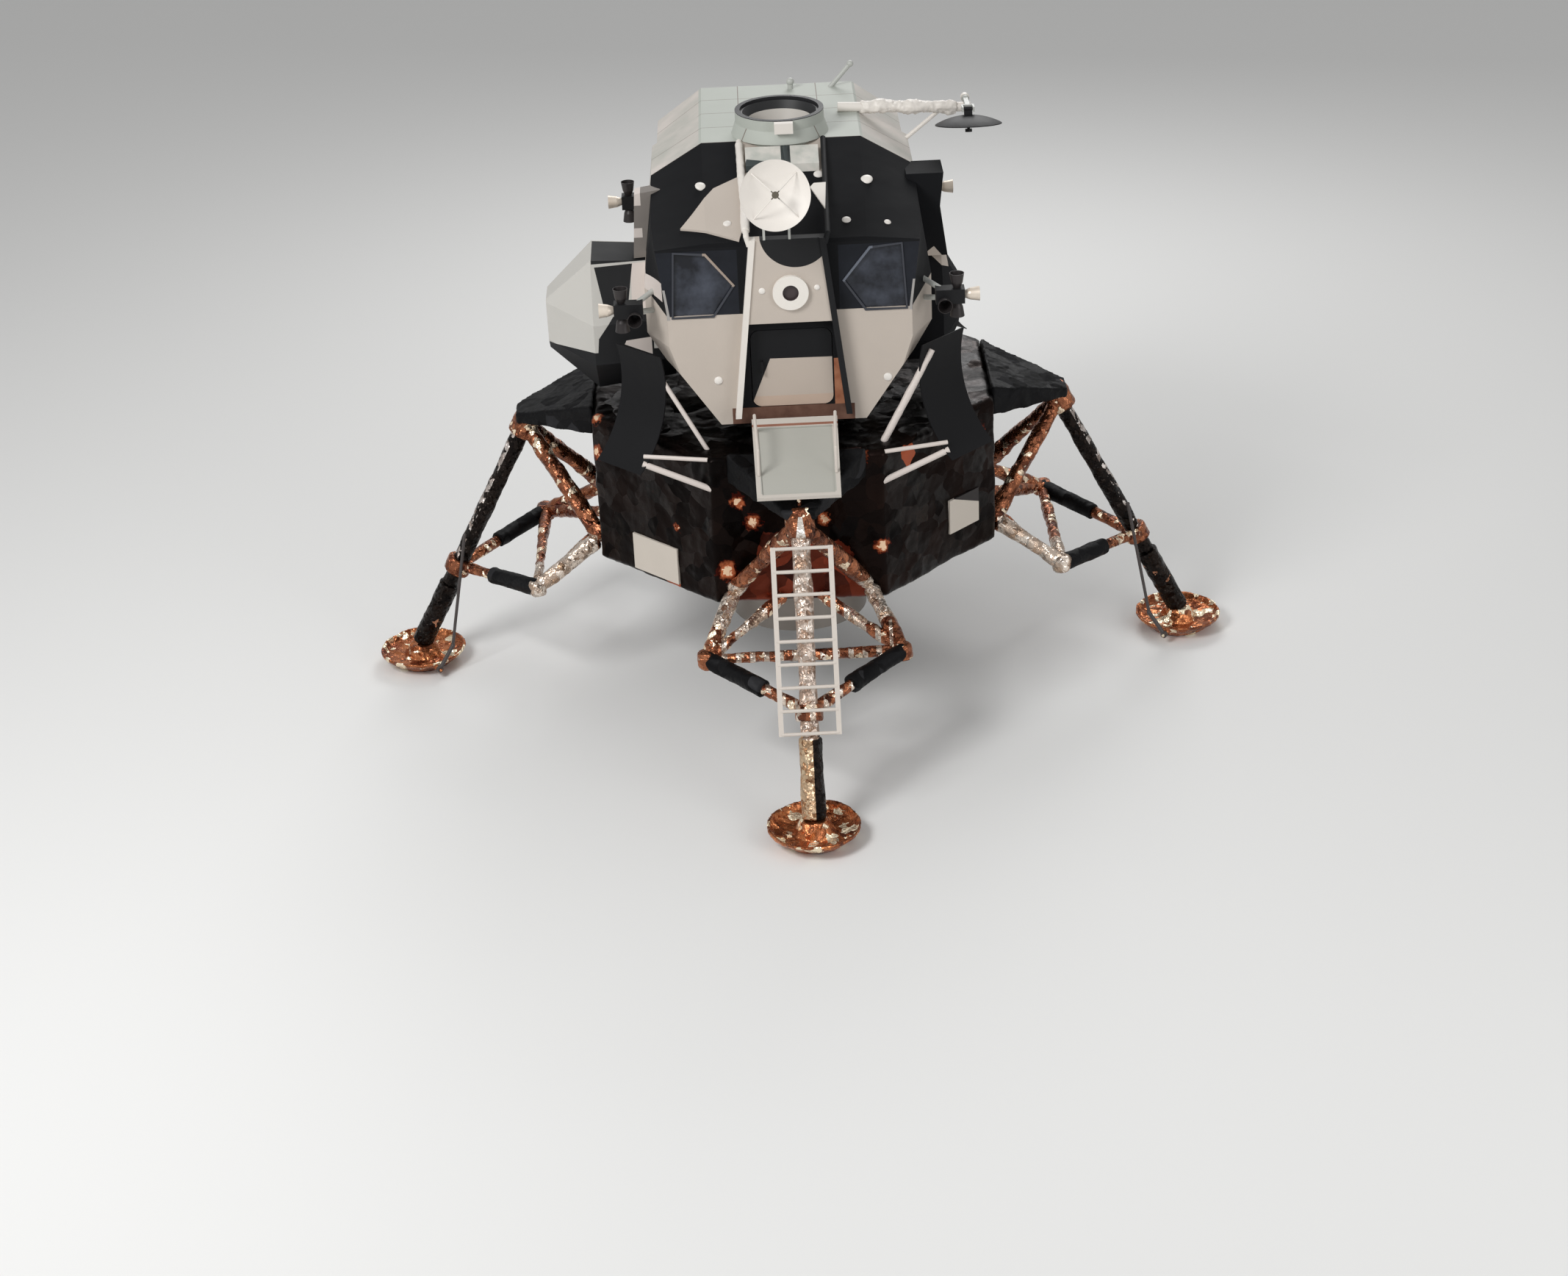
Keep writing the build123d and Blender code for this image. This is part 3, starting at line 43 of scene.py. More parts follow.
# Camera, floor and light
# The camera looks at the lander from ahead and above, a little to the ladder's left,
# as the photograph does. A pale floor, a white backdrop and large soft lamps stand in
# for a studio.
CAMERA_PLACE = Vector((-0.3625, -28.255, 14.735))
CAMERA_PITCH, CAMERA_YAW, CAMERA_ROLL = -0.479, 0.006, -0.045
LENS_MM, SENSOR_MM = 64.94, 36.0
CAMERA_REACH = 400.0
FLOOR_SIZE = 150.0
FLOOR_COLOUR = (0.80, 0.80, 0.79)
WORLD_LIGHT, SEEN_BY_CAMERA, SEEN_IN_GLOSS = 0.42, 0.5, 0.12
# name, place, size, power, aim
LAMPS = (
    ("key", (-11.0, -13.0, 17.0), 7.0, 2600.0, (0.0, 0.0, 3.5)),
    ("fill", (14.0, -16.0, 9.0), 9.0, 800.0, (0.0, 0.0, 3.0)),
    ("back", (3.0, 14.0, 14.0), 8.0, 1100.0, (0.0, 0.0, 4.5)),
)

look = Vector((math.sin(CAMERA_YAW) * math.cos(CAMERA_PITCH),
               math.cos(CAMERA_YAW) * math.cos(CAMERA_PITCH), math.sin(CAMERA_PITCH)))
right = look.cross(Vector((0, 0, 1))).normalized()
up = right.cross(look)
turned_right = math.cos(CAMERA_ROLL) * right + math.sin(CAMERA_ROLL) * up
turned_up = -math.sin(CAMERA_ROLL) * right + math.cos(CAMERA_ROLL) * up
camera = bpy.data.objects.new("camera", bpy.data.cameras.new("camera"))
camera.data.lens, camera.data.sensor_width = LENS_MM, SENSOR_MM
camera.data.clip_end = CAMERA_REACH
camera.matrix_world = Matrix.Translation(CAMERA_PLACE) @ Matrix(
    (turned_right, turned_up, -look)).transposed().to_4x4()
scene.collection.objects.link(camera)
scene.camera = camera
scene.view_settings.view_transform = "Standard"


class Wire:
    """One output of a material's nodes, with the arithmetic that adds Math nodes."""

    def __init__(self, tree, socket=None):
        self.tree, self.socket = tree, socket

    def node(self, kind, inputs=(), output=0, **settings):
        """Adds a node with its settings, then the values or wires of its sockets."""
        made = self.tree.nodes.new("ShaderNode" + kind)
        for name, value in settings.items():
            setattr(made, name, value)
        for key, value in dict(inputs).items():
            if isinstance(value, Wire):
                self.tree.links.new(value.socket, made.inputs[key])
            else:
                made.inputs[key].default_value = value
        return Wire(self.tree, made.outputs[output])

    def math(self, operation, first, second=0.0):
        return self.node("Math", {0: first, 1: second}, operation=operation)

    def __add__(self, other):
        return self.math("ADD", self, other)

    def __radd__(self, other):
        return self.math("ADD", other, self)

    def __sub__(self, other):
        return self.math("SUBTRACT", self, other)

    def __rsub__(self, other):
        return self.math("SUBTRACT", other, self)

    def __mul__(self, other):
        return self.math("MULTIPLY", self, other)

    def __rmul__(self, other):
        return self.math("MULTIPLY", other, self)

    def __gt__(self, other):
        return self.math("GREATER_THAN", self, other)

    def __lt__(self, other):
        return self.math("LESS_THAN", self, other)

    def __abs__(self):
        return self.math("ABSOLUTE", self)


def new_finish(name, roughness, metallic=0.0, coat=0.0):
    """A material with one shader: gives it, its shader and a wire of object coordinates."""
    material = bpy.data.materials.new(name)
    material.use_nodes = True
    tree = material.node_tree
    shader = tree.nodes["Principled BSDF"]
    shader.inputs["Roughness"].default_value = roughness
    shader.inputs["Metallic"].default_value = metallic
    shader.inputs["Coat Weight"].default_value = coat
    return material, shader, Wire(tree).node("TexCoord", output="Object")


floor_mesh = bpy.data.meshes.new("floor")
floor_build = bmesh.new()
bmesh.ops.create_grid(floor_build, x_segments=2, y_segments=2, size=FLOOR_SIZE)
floor_build.to_mesh(floor_mesh)
floor_build.free()
floor = bpy.data.objects.new("floor", floor_mesh)
scene.collection.objects.link(floor)
floor_finish, floor_shader, _ = new_finish("floor_paper", roughness=0.9)
floor_shader.inputs["Base Color"].default_value = (*FLOOR_COLOUR, 1.0)
floor_mesh.materials.append(floor_finish)

world = bpy.data.worlds.new("studio")
scene.world = world
world.use_nodes = True
rays = Wire(world.node_tree)
seen = rays.node("LightPath", output="Is Camera Ray")
glossy = rays.node("LightPath", output="Is Glossy Ray")
strength = WORLD_LIGHT + SEEN_BY_CAMERA * seen + SEEN_IN_GLOSS * glossy
backdrop = world.node_tree.nodes["Background"]
backdrop.inputs["Color"].default_value = (1.0, 1.0, 1.0, 1.0)
world.node_tree.links.new(strength.socket, backdrop.inputs["Strength"])

for name, place, size, power, aim in LAMPS:
    lamp_data = bpy.data.lights.new(name, "AREA")
    lamp_data.size, lamp_data.energy = size, power
    lamp = bpy.data.objects.new(name, lamp_data)
    lamp.location = place
    lamp.rotation_mode = "QUATERNION"
    lamp.rotation_quaternion = (Vector(aim) - Vector(place)).to_track_quat("-Z", "Y")
    scene.collection.objects.link(lamp)

# Roof and aft bay
# Thin metal shield sheets on stand-offs over the midsection and the aft equipment bay, coated a
# cool grey-green. Narrow gaps part the sheets, and each one bows a little between its screws.
ROOF_GREY = (0.45, 0.475, 0.43)
SLOPE_GREY, SLOPE_WARM = (0.47, 0.465, 0.42), (0.63, 0.58, 0.535)
SLOPE_X, SLOPE_END_Y = 0.84, 1.80
SEAM_BROWN = (0.20, 0.165, 0.14)
SEAM_HALF = 0.005
ROOF_SEAMS_Y = (-0.30, 0.21, 0.70, 1.18, 1.66)
LONG_SEAMS_X, LONG_SEAMS_START_Y = (-0.42, 0.42), 0.50
LEVEL_SEAMS_Z, BAY_FRONT_Y = (3.78, 4.62, 5.40), 1.18


def axes(place):
    """The three object coordinates as wires."""
    return [place.node("SeparateXYZ", {0: place}, output=axis) for axis in range(3)]


def clouds(place, scale, detail=3.0, roughness=0.5, output=0):
    """Soft noise from 0 to 1 at each place; a greater scale makes it finer."""
    sockets = {"Vector": place, "Scale": scale, "Detail": detail, "Roughness": roughness}
    return place.node("TexNoise", sockets, output=output)


def seam(across, middles):
    """1 in the narrow gaps between two sheets."""
    return sum(abs(across - middle) < SEAM_HALF for middle in middles)


def feed(shader, **wires):
    """Links wires to the shader's sockets, named with _ for a space."""
    for name, wire in wires.items():
        wire.tree.links.new(wire.socket, shader.inputs[name.replace("_", " ")])


def blend_colours(factor, first, second, blend_type="MIX"):
    """Mixes two colours by a factor, held between 0 and 1; each may be a wire or plain."""
    pair = {0: factor}
    for key, value in ((6, first), (7, second)):
        pair[key] = value if isinstance(value, Wire) else (*value, 1.0)
    source = next(value for value in (factor, first, second) if isinstance(value, Wire))
    return source.node("Mix", pair, output=2, data_type="RGBA", blend_type=blend_type)


def panel_finish(name, colour, roughness=0.62, mottle=0.10, wave=0.35, gloss=0.5, pattern=None):
    """A flat coat on sheet metal. A pattern function may repaint it from the place and the coat."""
    material, shader, place = new_finish(name, roughness)
    shader.inputs["Specular IOR Level"].default_value = gloss
    cloud = clouds(place, 2.3, 4.0, 0.55)
    speck = clouds(place, 70.0, 2.0)
    coat = pattern(place, colour) if pattern else colour
    worn = blend_colours(0.75 * cloud + 0.25 * speck, (1.0 - mottle,) * 3, (1.0,) * 3)
    dent = clouds(place, 3.6, 1.0, 0.4)
    bump = place.node("Bump", {"Strength": wave, "Distance": 0.02, "Height": dent + 0.02 * speck})
    feed(shader, Base_Color=blend_colours(1.0, coat, worn, "MULTIPLY"),
         Roughness=roughness - 0.06 + 0.12 * cloud, Normal=bump)
    return material


def finish(material, *names):
    """Gives CAD nodes their material."""
    for name in names:
        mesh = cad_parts[name].data
        mesh.materials.clear()
        mesh.materials.append(material)


def roof_sheets(place, coat):
    """Blotchy, warmer sheets on the slopes, and the seams between all sheets."""
    x, y, z = axes(place)
    slope = blend_colours(3.0 * clouds(place, 2.2, 4.0) - 1.0, SLOPE_GREY, SLOPE_WARM)
    coat = blend_colours((abs(x) > SLOPE_X) * (y < SLOPE_END_Y), coat, slope)
    along = seam(x, LONG_SEAMS_X) * (y > LONG_SEAMS_START_Y)
    level = seam(z, LEVEL_SEAMS_Z) * (y > BAY_FRONT_Y)
    return blend_colours(seam(y, ROOF_SEAMS_Y) + along + level, coat, SEAM_BROWN)


roof_panel = panel_finish("roof_panel", ROOF_GREY, wave=0.5, pattern=roof_sheets)
finish(roof_panel, "midsection", "aft_equipment_bay", "tunnel_skirt")

# Cabin face, sides and brow
# Sheet metal shields over the crew's cabin, tan below the window sills and matt black above
# them, so that the crew isn't dazzled. The bevels beside the sills stay tan, and a thin pale
# strip runs up the face's outer edges. Red copper film shows at the right of the hatch.
PALE_TAN = (0.53, 0.468, 0.41)
MATT_BLACK = (0.0075, 0.0078, 0.009)
WINDOW_BLUE = (0.024, 0.027, 0.036)
CREAM = (0.68, 0.61, 0.565)
EDGE_GREY = (0.36, 0.345, 0.33)
RED_FILM = (0.20, 0.035, 0.015), (0.62, 0.30, 0.17)
BROWN_FILM = (0.07, 0.028, 0.02), (0.22, 0.12, 0.085)
FACE_Y = -1.778
SILL_Z = 4.636
BEVEL_RISE = 0.30
# the bluish black round the windows: its inner side, top and rear end
NOSE_HALF, WINDOW_TOP_Z, WINDOW_BACK_Y = 0.50, 5.31, -1.76
# the pale strip on the face's outer edges: how it leans, and its ends
EDGE_LEAN, EDGE_X, EDGE_Z, EDGE_BACK_Y = 0.1297, 0.594, (4.60, 4.92), -1.765
# the cream patch beside the left window: painted light on the left shoulder facet
LIT_PATCH_X, LIT_PATCH_FOOT_Z, LIT_PATCH_LEAN, LIT_PATCH_TOP_Z = -1.262, 4.77, 0.137, 4.75
# the bay between the beams and the films in it
HATCH_BAY = ((-0.56, 3.62), (0.56, 3.62), (0.45, 4.62), (-0.45, 4.62))
HATCH_BAY_BACK_Y = -1.70
RED_FILM_X, RED_FILM_TOP_Z, RED_FILM_BACK_Y = 0.422, 4.12, -1.72
BROWN_FILM_TOP_Z, BROWN_FILM_HALF = 3.625, 0.62
TUBE_X, COLLAR_FRONT_Y = 0.405, -0.80
LEFT_BAY_BROWN = (0.20, 0.178, 0.16)
LEFT_CREAM_X, LEFT_CREAM_Z = -1.455, ((5.44, 5.62), (5.10, 5.20))
# a painted lit facet on the right side, which is otherwise painted black, partly as shade
LIT_TRIANGLE = ((1.43, 4.79), (1.68, 4.57), (1.665, 4.68), (1.52, 4.86))
# how the matt black sheets take the light
BLACK_SHEET = {"roughness": 0.75, "mottle": 0.25, "gloss": 0.12}


def within(value, low, high):
    """1 between two limits."""
    return (value > low) * (value < high)


def outline_mask(u, v, corners):
    """1 inside a convex outline, whose corners (u, v) run anticlockwise."""
    edges = zip(corners, corners[1:] + corners[:1])
    return math.prod((v - v0) * (u1 - u0) - (u - u0) * (v1 - v0) > 0.0
                     for (u0, v0), (u1, v1) in edges)


def face_sheets(place, coat):
    """Tan and black sheets, a painted lit patch beside the left window, and the film beside and
    under the hatch.
    """
    x, y, z = axes(place)
    width = abs(x)
    smoke = blend_colours(clouds(place, 3.2, 3.0, 0.6), MATT_BLACK, WINDOW_BLUE)
    round_windows = (y < WINDOW_BACK_Y) * (z < WINDOW_TOP_Z) * (width > NOSE_HALF)
    dark = blend_colours(round_windows, MATT_BLACK, smoke)
    above_sill = z - BEVEL_RISE * (y - FACE_Y) > SILL_Z
    sheet = blend_colours(above_sill, coat, dark)
    edge_strip = (width - EDGE_LEAN * z > EDGE_X) * within(z, *EDGE_Z) * (y < EDGE_BACK_Y)
    sheet = blend_colours(edge_strip, sheet, EDGE_GREY)
    # painted light: the shoulder facet beside the left window is given a lit cream patch
    lit_patch_top = z + LIT_PATCH_LEAN * y < LIT_PATCH_TOP_Z
    lit_shoulder = (x < LIT_PATCH_X) * (z > LIT_PATCH_FOOT_Z) * lit_patch_top
    sheet = blend_colours(lit_shoulder, sheet, CREAM)
    forward = y < HATCH_BAY_BACK_Y
    between_beams = outline_mask(x, z, HATCH_BAY) * forward
    sheet = blend_colours(between_beams, sheet, MATT_BLACK)
    flame = clouds(place, 9.0)
    beside_hatch = (x > RED_FILM_X) * (y < RED_FILM_BACK_Y) * (z < RED_FILM_TOP_Z) * between_beams
    sheet = blend_colours(beside_hatch, sheet, blend_colours(flame, *RED_FILM))
    under_hatch = (z < BROWN_FILM_TOP_Z) * (width < BROWN_FILM_HALF) * forward
    return blend_colours(under_hatch, sheet, blend_colours(flame, *BROWN_FILM))


def hood_sheets(place, coat):
    """The hood is pale between the radar tubes, up to the docking collar."""
    x, y, z = axes(place)
    return blend_colours((abs(x) < TUBE_X) * (y > COLLAR_FRONT_Y), coat, PALE_TAN)


def left_side_sheets(place, coat):
    """Cream patches on the brown left bay, beside the rear thrusters."""
    x, y, z = axes(place)
    bands = sum(within(z, *band) for band in LEFT_CREAM_Z)
    return blend_colours((x < LEFT_CREAM_X) * bands, coat, CREAM)


def right_side_shade_sheets(place, coat):
    """A small tan triangle of painted light where the right bay meets the tank cover; the rest is
    black, partly black sheet and partly painted shade.
    """
    x, y, z = axes(place)
    return blend_colours(outline_mask(x, z, LIT_TRIANGLE), coat, PALE_TAN)


face_panel = panel_finish("face_panel", PALE_TAN, roughness=0.75, gloss=0.15, pattern=face_sheets)
black_panel = panel_finish("black_panel", MATT_BLACK, **BLACK_SHEET)
tan_panel = panel_finish("tan_panel", PALE_TAN, gloss=0.3)
hood_paint = panel_finish("hood_paint", MATT_BLACK, pattern=hood_sheets, **BLACK_SHEET)
left_side_paint = panel_finish("left_side_paint", LEFT_BAY_BROWN, pattern=left_side_sheets)
# the right side's black is partly its black sheet and partly painted shade
right_side_shade_paint = panel_finish("right_side_shade_paint", MATT_BLACK, roughness=0.75, gloss=0.12,
                                pattern=right_side_shade_sheets)
finish(face_panel, "cabin_front", "crew_cabin")
finish(black_panel, "hatch_hinges")
finish(tan_panel, "brow_panel")
finish(hood_paint, "cabin_hood")
finish(left_side_paint, "left_side_bay")
finish(right_side_shade_paint, "right_side_bay", "right_tank_cover")

# Nose between the windows
# A tan sheet between two deep beams, with a round black patch under the radar that is a painted
# shadow of the radar dish. The left beam is painted white, and the right beam and the right radar
# tube are painted black for the shade on their side. A white enamel ring surrounds the lamp well.
WHITE_COAT = (0.76, 0.715, 0.66)
ENAMEL_WHITE = (0.80, 0.76, 0.70)
# the round black patch is a painted shadow of the radar dish
DISH_SHADOW_MIDDLE, DISH_SHADOW_RADIUS = (0.085, 5.50), 0.36
LAMP_MIDDLE, WELL_RADIUS = (0.014, 4.886), 0.080
WELL_DARK = (0.05, 0.035, 0.035)


def disc_mask(u, v, middle, radius):
    """1 inside a circle."""
    across, along = u - middle[0], v - middle[1]
    return across * across + along * along < radius * radius


# paints the radar dish's shadow on the nose sheet
def nose_sheet_with_shadow(place, coat):
    x, y, z = axes(place)
    return blend_colours(disc_mask(x, z, DISH_SHADOW_MIDDLE, DISH_SHADOW_RADIUS), coat, MATT_BLACK)


# the right beam and the right radar tube are painted black as shade
def beam_sides_shaded(place, coat):
    x, y, z = axes(place)
    return blend_colours(x > 0.0, coat, MATT_BLACK)


def lamp_ring(place, coat):
    x, y, z = axes(place)
    return blend_colours(disc_mask(x, z, LAMP_MIDDLE, WELL_RADIUS), coat, WELL_DARK)


nose_paint = panel_finish("nose_paint", PALE_TAN, gloss=0.3, pattern=nose_sheet_with_shadow)
beam_paint = panel_finish("beam_paint", WHITE_COAT, gloss=0.25, pattern=beam_sides_shaded)
lamp_enamel = panel_finish("lamp_enamel", ENAMEL_WHITE, roughness=0.4, pattern=lamp_ring)
finish(nose_paint, "nose_panel")
finish(beam_paint, "nose_beams", "radar_frame")
finish(lamp_enamel, "docking_light")

# Forward hatch
# A square door of sheet metal under the nose, hung on two hinges. Its lower part is tan, warmer
# along its foot, and its top and its left side up to a slanted edge are painted black as the shadow
# of the nose above it.
HATCH_TAN, HATCH_WARM = (0.50, 0.43, 0.37), (0.52, 0.40, 0.32)
# outside this outline the hatch is painted black as the nose's shadow
HATCH_UNSHADED_OUTLINE = ((-0.44, 3.60), (0.50, 3.60), (0.50, 4.135), (-0.217, 4.142))
WARM_TOP_Z = 3.74


def hatch_sheet_with_shadow(place, coat):
    x, y, z = axes(place)
    warm = blend_colours(z < WARM_TOP_Z, coat, HATCH_WARM)
    # the black outside the outline is painted shadow
    return blend_colours(outline_mask(x, z, HATCH_UNSHADED_OUTLINE), MATT_BLACK, warm)


hatch_paint = panel_finish("hatch_paint", HATCH_TAN, gloss=0.2, pattern=hatch_sheet_with_shadow)
finish(hatch_paint, "forward_hatch")

# Windows
# Two slanted panes of thick coated glass, dark blue over the unlit cabin, with paler blue streaks
# that are painted reflections. A thin pressed metal strip, darker than the face, holds each pane
# along its edge.
GLASS_DARK, REFLECTED_BLUE = (0.007, 0.008, 0.012), (0.060, 0.068, 0.090)
WINDOW_CORNERS = ((1.118, 5.283), (0.813, 5.258), (0.559, 4.940), (0.762, 4.636), (1.156, 4.636))
REFLECTION_LOW, REFLECTION_HIGH = 0.38, 0.72
PANE_X, PANE_Z = 0.88, 4.93
PANE_INNER_X = 0.84
STRIP_WIDTH = 0.026
STRIP_GROWTH = 1.08
STRIP_HEIGHT = 0.010
STRIP_DARK = (0.034, 0.037, 0.048)
STRIP_HIGHLIGHT_TAN, STRIP_REFLECTION_BLUE = (0.34, 0.27, 0.22), (0.13, 0.145, 0.18)


def part_from(build, name, material):
    """Turns a finished mesh build into a named piece that rides on the vehicle."""
    mesh = bpy.data.meshes.new(name)
    build.to_mesh(mesh)
    build.free()
    mesh.materials.append(material)
    piece = bpy.data.objects.new(name, mesh)
    scene.collection.objects.link(piece)
    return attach(piece, "vehicle")


window_glass, glass_shader, place = new_finish("window_glass", roughness=0.14, coat=0.15)
glass_shader.inputs["Specular IOR Level"].default_value = 0.25
# the paler blue streaks across the glass are painted reflections
reflection_cloud = clouds(place, 2.8, 4.0, 0.6)
reflection_streaks = place.node("MapRange", {0: reflection_cloud, 1: REFLECTION_LOW, 2: REFLECTION_HIGH})
feed(glass_shader, Base_Color=blend_colours(reflection_streaks, GLASS_DARK, REFLECTED_BLUE))
finish(window_glass, "front_windows")

strips = bmesh.new()
for side in (-1, 1):
    middle = Vector((side * PANE_X, FACE_Y, PANE_Z))
    pane_edge = strips.faces.new([
        strips.verts.new(middle.lerp((side * x, FACE_Y, z), STRIP_GROWTH))
        for x, z in WINDOW_CORNERS])
    pane_edge.normal_update()
    bmesh.ops.inset_region(strips, faces=[pane_edge], thickness=STRIP_WIDTH, use_boundary=True)
    bmesh.ops.delete(strips, geom=[pane_edge], context="FACES_ONLY")
bmesh.ops.recalc_face_normals(strips, faces=strips.faces)
for face in strips.faces:
    if face.normal.y > 0:
        face.normal_flip()
bmesh.ops.solidify(strips, geom=strips.faces, thickness=STRIP_HEIGHT)
bmesh.ops.translate(strips, verts=strips.verts, vec=(0.0, -STRIP_HEIGHT, 0.0))


def strip_sides(place, coat):
    """The upper inner strips are bare metal, with a painted tan highlight at the left pane and a
    painted bluish reflection at the right one.
    """
    x, y, z = axes(place)
    # painted light: a tan highlight on the left strip, a bluish reflection on the right one
    bare = blend_colours(x > 0.0, STRIP_HIGHLIGHT_TAN, STRIP_REFLECTION_BLUE)
    return blend_colours((abs(x) < PANE_INNER_X) * (z > PANE_Z), coat, bare)


strip_paint = panel_finish("strip_paint", STRIP_DARK, roughness=0.4, pattern=strip_sides)
part_from(strips, "window_strips", strip_paint)

# Docking ring and tunnel
# The collar round the tunnel's mouth is dark inside and on top, a painted shade of the tunnel's
# shadowed mouth, with a pale outer wall and a white fitting at its front. The cone in it is pale,
# with a band near its rim painted dark as the shade between cone and collar.
# the ring's dark is painted shade of the tunnel's mouth
RING_SHADE_DARK = (0.02, 0.02, 0.022)
RING_WALL_R, RING_LIP_Z, RING_FITTING_Y = 0.452, 6.178, -0.462
CONE_GREY = (0.52, 0.49, 0.45)
CONE_SHADE_R = 0.33
TUNNEL_MIDDLE = (0.0, 0.0)


def ring_sides(place, coat):
    x, y, z = axes(place)
    outer_wall = (1.0 - disc_mask(x, y, TUNNEL_MIDDLE, RING_WALL_R)) * (z < RING_LIP_Z)
    walls = blend_colours(outer_wall, coat, ROOF_GREY)
    return blend_colours(y < RING_FITTING_Y, walls, WHITE_COAT)


def cone_shade_band(place, coat):
    x, y, z = axes(place)
    # outside this circle the cone is painted black as shade
    return blend_colours(disc_mask(x, y, TUNNEL_MIDDLE, CONE_SHADE_R), MATT_BLACK, coat)


ring_paint = panel_finish("ring_paint", RING_SHADE_DARK, roughness=0.5, gloss=0.2, pattern=ring_sides)
cone_paint = panel_finish("cone_paint", CONE_GREY, roughness=0.5, pattern=cone_shade_band)
finish(ring_paint, "docking_ring")
finish(cone_paint, "docking_drogue")

# Left tank cover
# A bulge of flat sheet facets over a propellant tank, light grey. A black sheet covers its top
# beside the thruster and runs down in a wedge, with a narrow pale border between the two.
# Its lower bevel and a corner below the thrusters are painted black as shade, and a cream patch
# beside the cabin is painted light.
TANK_GREY = (0.54, 0.525, 0.49)
TANK_FRONT_Y = -0.5
SHADED_FOOT_Z = 3.99
TANK_TOP_Z, TANK_TOP_LEFT_X, TANK_TOP_BACK_Y = 4.865, -2.0, -0.30
LIT_SIDE_X, LIT_SIDE_Z = -1.60, (4.42, 4.85)
BLACK_WEDGE = ((-1.87, 4.36), (-1.64, 4.46), (-1.58, 4.845), (-1.97, 4.835))
# a corner below the thrusters, painted black as shade
SHADED_CORNER = ((-1.98, 3.95), (-1.40, 3.95), (-1.40, 4.36), (-1.80, 4.36), (-1.96, 4.14))
CREAM_BRACKET = ((-1.70, 4.06), (-1.42, 3.93), (-1.42, 4.12), (-1.68, 4.10))


def tank_sheets(place, coat):
    x, y, z = axes(place)
    front = y < TANK_FRONT_Y
    # painted light: a lit cream patch beside the cabin
    lit_beside_cabin = (x > LIT_SIDE_X) * within(z, *LIT_SIDE_Z)
    sheet = blend_colours(lit_beside_cabin, coat, CREAM)
    top = (z > TANK_TOP_Z) * (x > TANK_TOP_LEFT_X) * (y < TANK_TOP_BACK_Y)
    shields = outline_mask(x, z, BLACK_WEDGE) + outline_mask(x, z, SHADED_CORNER)
    # black below the foot and in the corner is painted shade; the top and the wedge are black sheet
    sheet = blend_colours(top + (z < SHADED_FOOT_Z) + shields * front, sheet, MATT_BLACK)
    return blend_colours(outline_mask(x, z, CREAM_BRACKET) * front, sheet, CREAM)


tank_paint = panel_finish("tank_paint", TANK_GREY, gloss=0.3, pattern=tank_sheets)
finish(tank_paint, "left_tank_cover")

# Screw caps on the shields
# Round white enamelled caps over the sheets' fasteners, flattened domes that each stand on
# their panel.
CAP_WHITE = (0.80, 0.76, 0.71)
CAP_FLATNESS = 0.42
# centre, outward direction, radius
CAPS = (
    ((-0.828, -0.941, 5.694), (0.25, -0.33, 0.91), 0.062),
    ((0.834, -0.944, 5.690), (-0.10, -0.34, 0.93), 0.066),
    ((0.601, -1.531, 5.479), (0.0, -0.36, 0.93), 0.046),
    ((0.359, -0.850, 5.737), (0.0, -0.35, 0.94), 0.052),
    ((1.008, -1.538, 5.438), (0.25, -0.33, 0.91), 0.036),
    ((-0.578, -1.535, 5.497), (0.0, -0.33, 0.94), 0.044),
    ((-0.268, -1.890, 4.908), (0.0, -1.0, 0.0), 0.034),
    ((0.277, -1.890, 4.920), (0.0, -1.0, 0.0), 0.030),
    ((-0.745, -1.778, 3.935), (0.0, -1.0, 0.0), 0.044),
    ((0.960, -1.778, 3.890), (0.0, -1.0, 0.0), 0.044),
)

caps = bmesh.new()
for centre, outwards, radius in CAPS:
    lean = Vector(outwards).to_track_quat("Z", "Y").to_matrix().to_4x4()
    flat = Matrix.Diagonal((1.0, 1.0, CAP_FLATNESS, 1.0))
    bmesh.ops.create_uvsphere(caps, u_segments=20, v_segments=10, radius=radius,
                              matrix=Matrix.Translation(Vector(centre)) @ lean @ flat)
for face in caps.faces:
    face.smooth = True
part_from(caps, "shield_caps", panel_finish("cap_enamel", CAP_WHITE, roughness=0.4))

# Small fittings of painted metal
# Aluminium tubes, brackets and plates, bolted together and sprayed pale or left dark: the
# radar and its base, the antenna, the thruster blocks, the ladder, the rails and the probes.
FITTING_GREY = (0.47, 0.48, 0.45)
LADDER_WHITE = (0.66, 0.60, 0.54)
FITTING_DARK = (0.012, 0.012, 0.013)
PROBE_DARK = (0.06, 0.05, 0.048)
BASE_CORNER = ((-0.40, -0.90), (-0.10, -0.90), (-0.16, -0.74), (-0.36, -0.70))
BASE_SLOT_X = (-0.01, 0.085)
BASE_DARK = (0.035, 0.045, 0.045)
PLATE_CREAM, PLATE_BLACK = (0.62, 0.56, 0.49), (0.010, 0.006, 0.006)
PLATE_CUT_LEAN, PLATE_CUT_Z = 0.575, 3.255
DISH_WHITE = (0.80, 0.755, 0.70)
HORN_MIDDLE, HORN_RADIUS, HORN_DARK = (-0.10, -2.345, 6.040), 0.062, (0.10, 0.085, 0.06)


def base_sheets(place, coat):
    """The radar's base has a dark slot in its middle and a dark corner on the left."""
    x, y, z = axes(place)
    sheet = blend_colours(2.0 * clouds(place, 6.0) - 0.5, coat, WHITE_COAT)
    slot = within(x, *BASE_SLOT_X)
    return blend_colours(slot + outline_mask(x, y, BASE_CORNER), sheet, BASE_DARK)


def plate_corner(place, coat):
    """Black film covers the right plate's upper corner."""
    x, y, z = axes(place)
    return blend_colours((x > 0.0) * (z + PLATE_CUT_LEAN * x > PLATE_CUT_Z), coat, PLATE_BLACK)


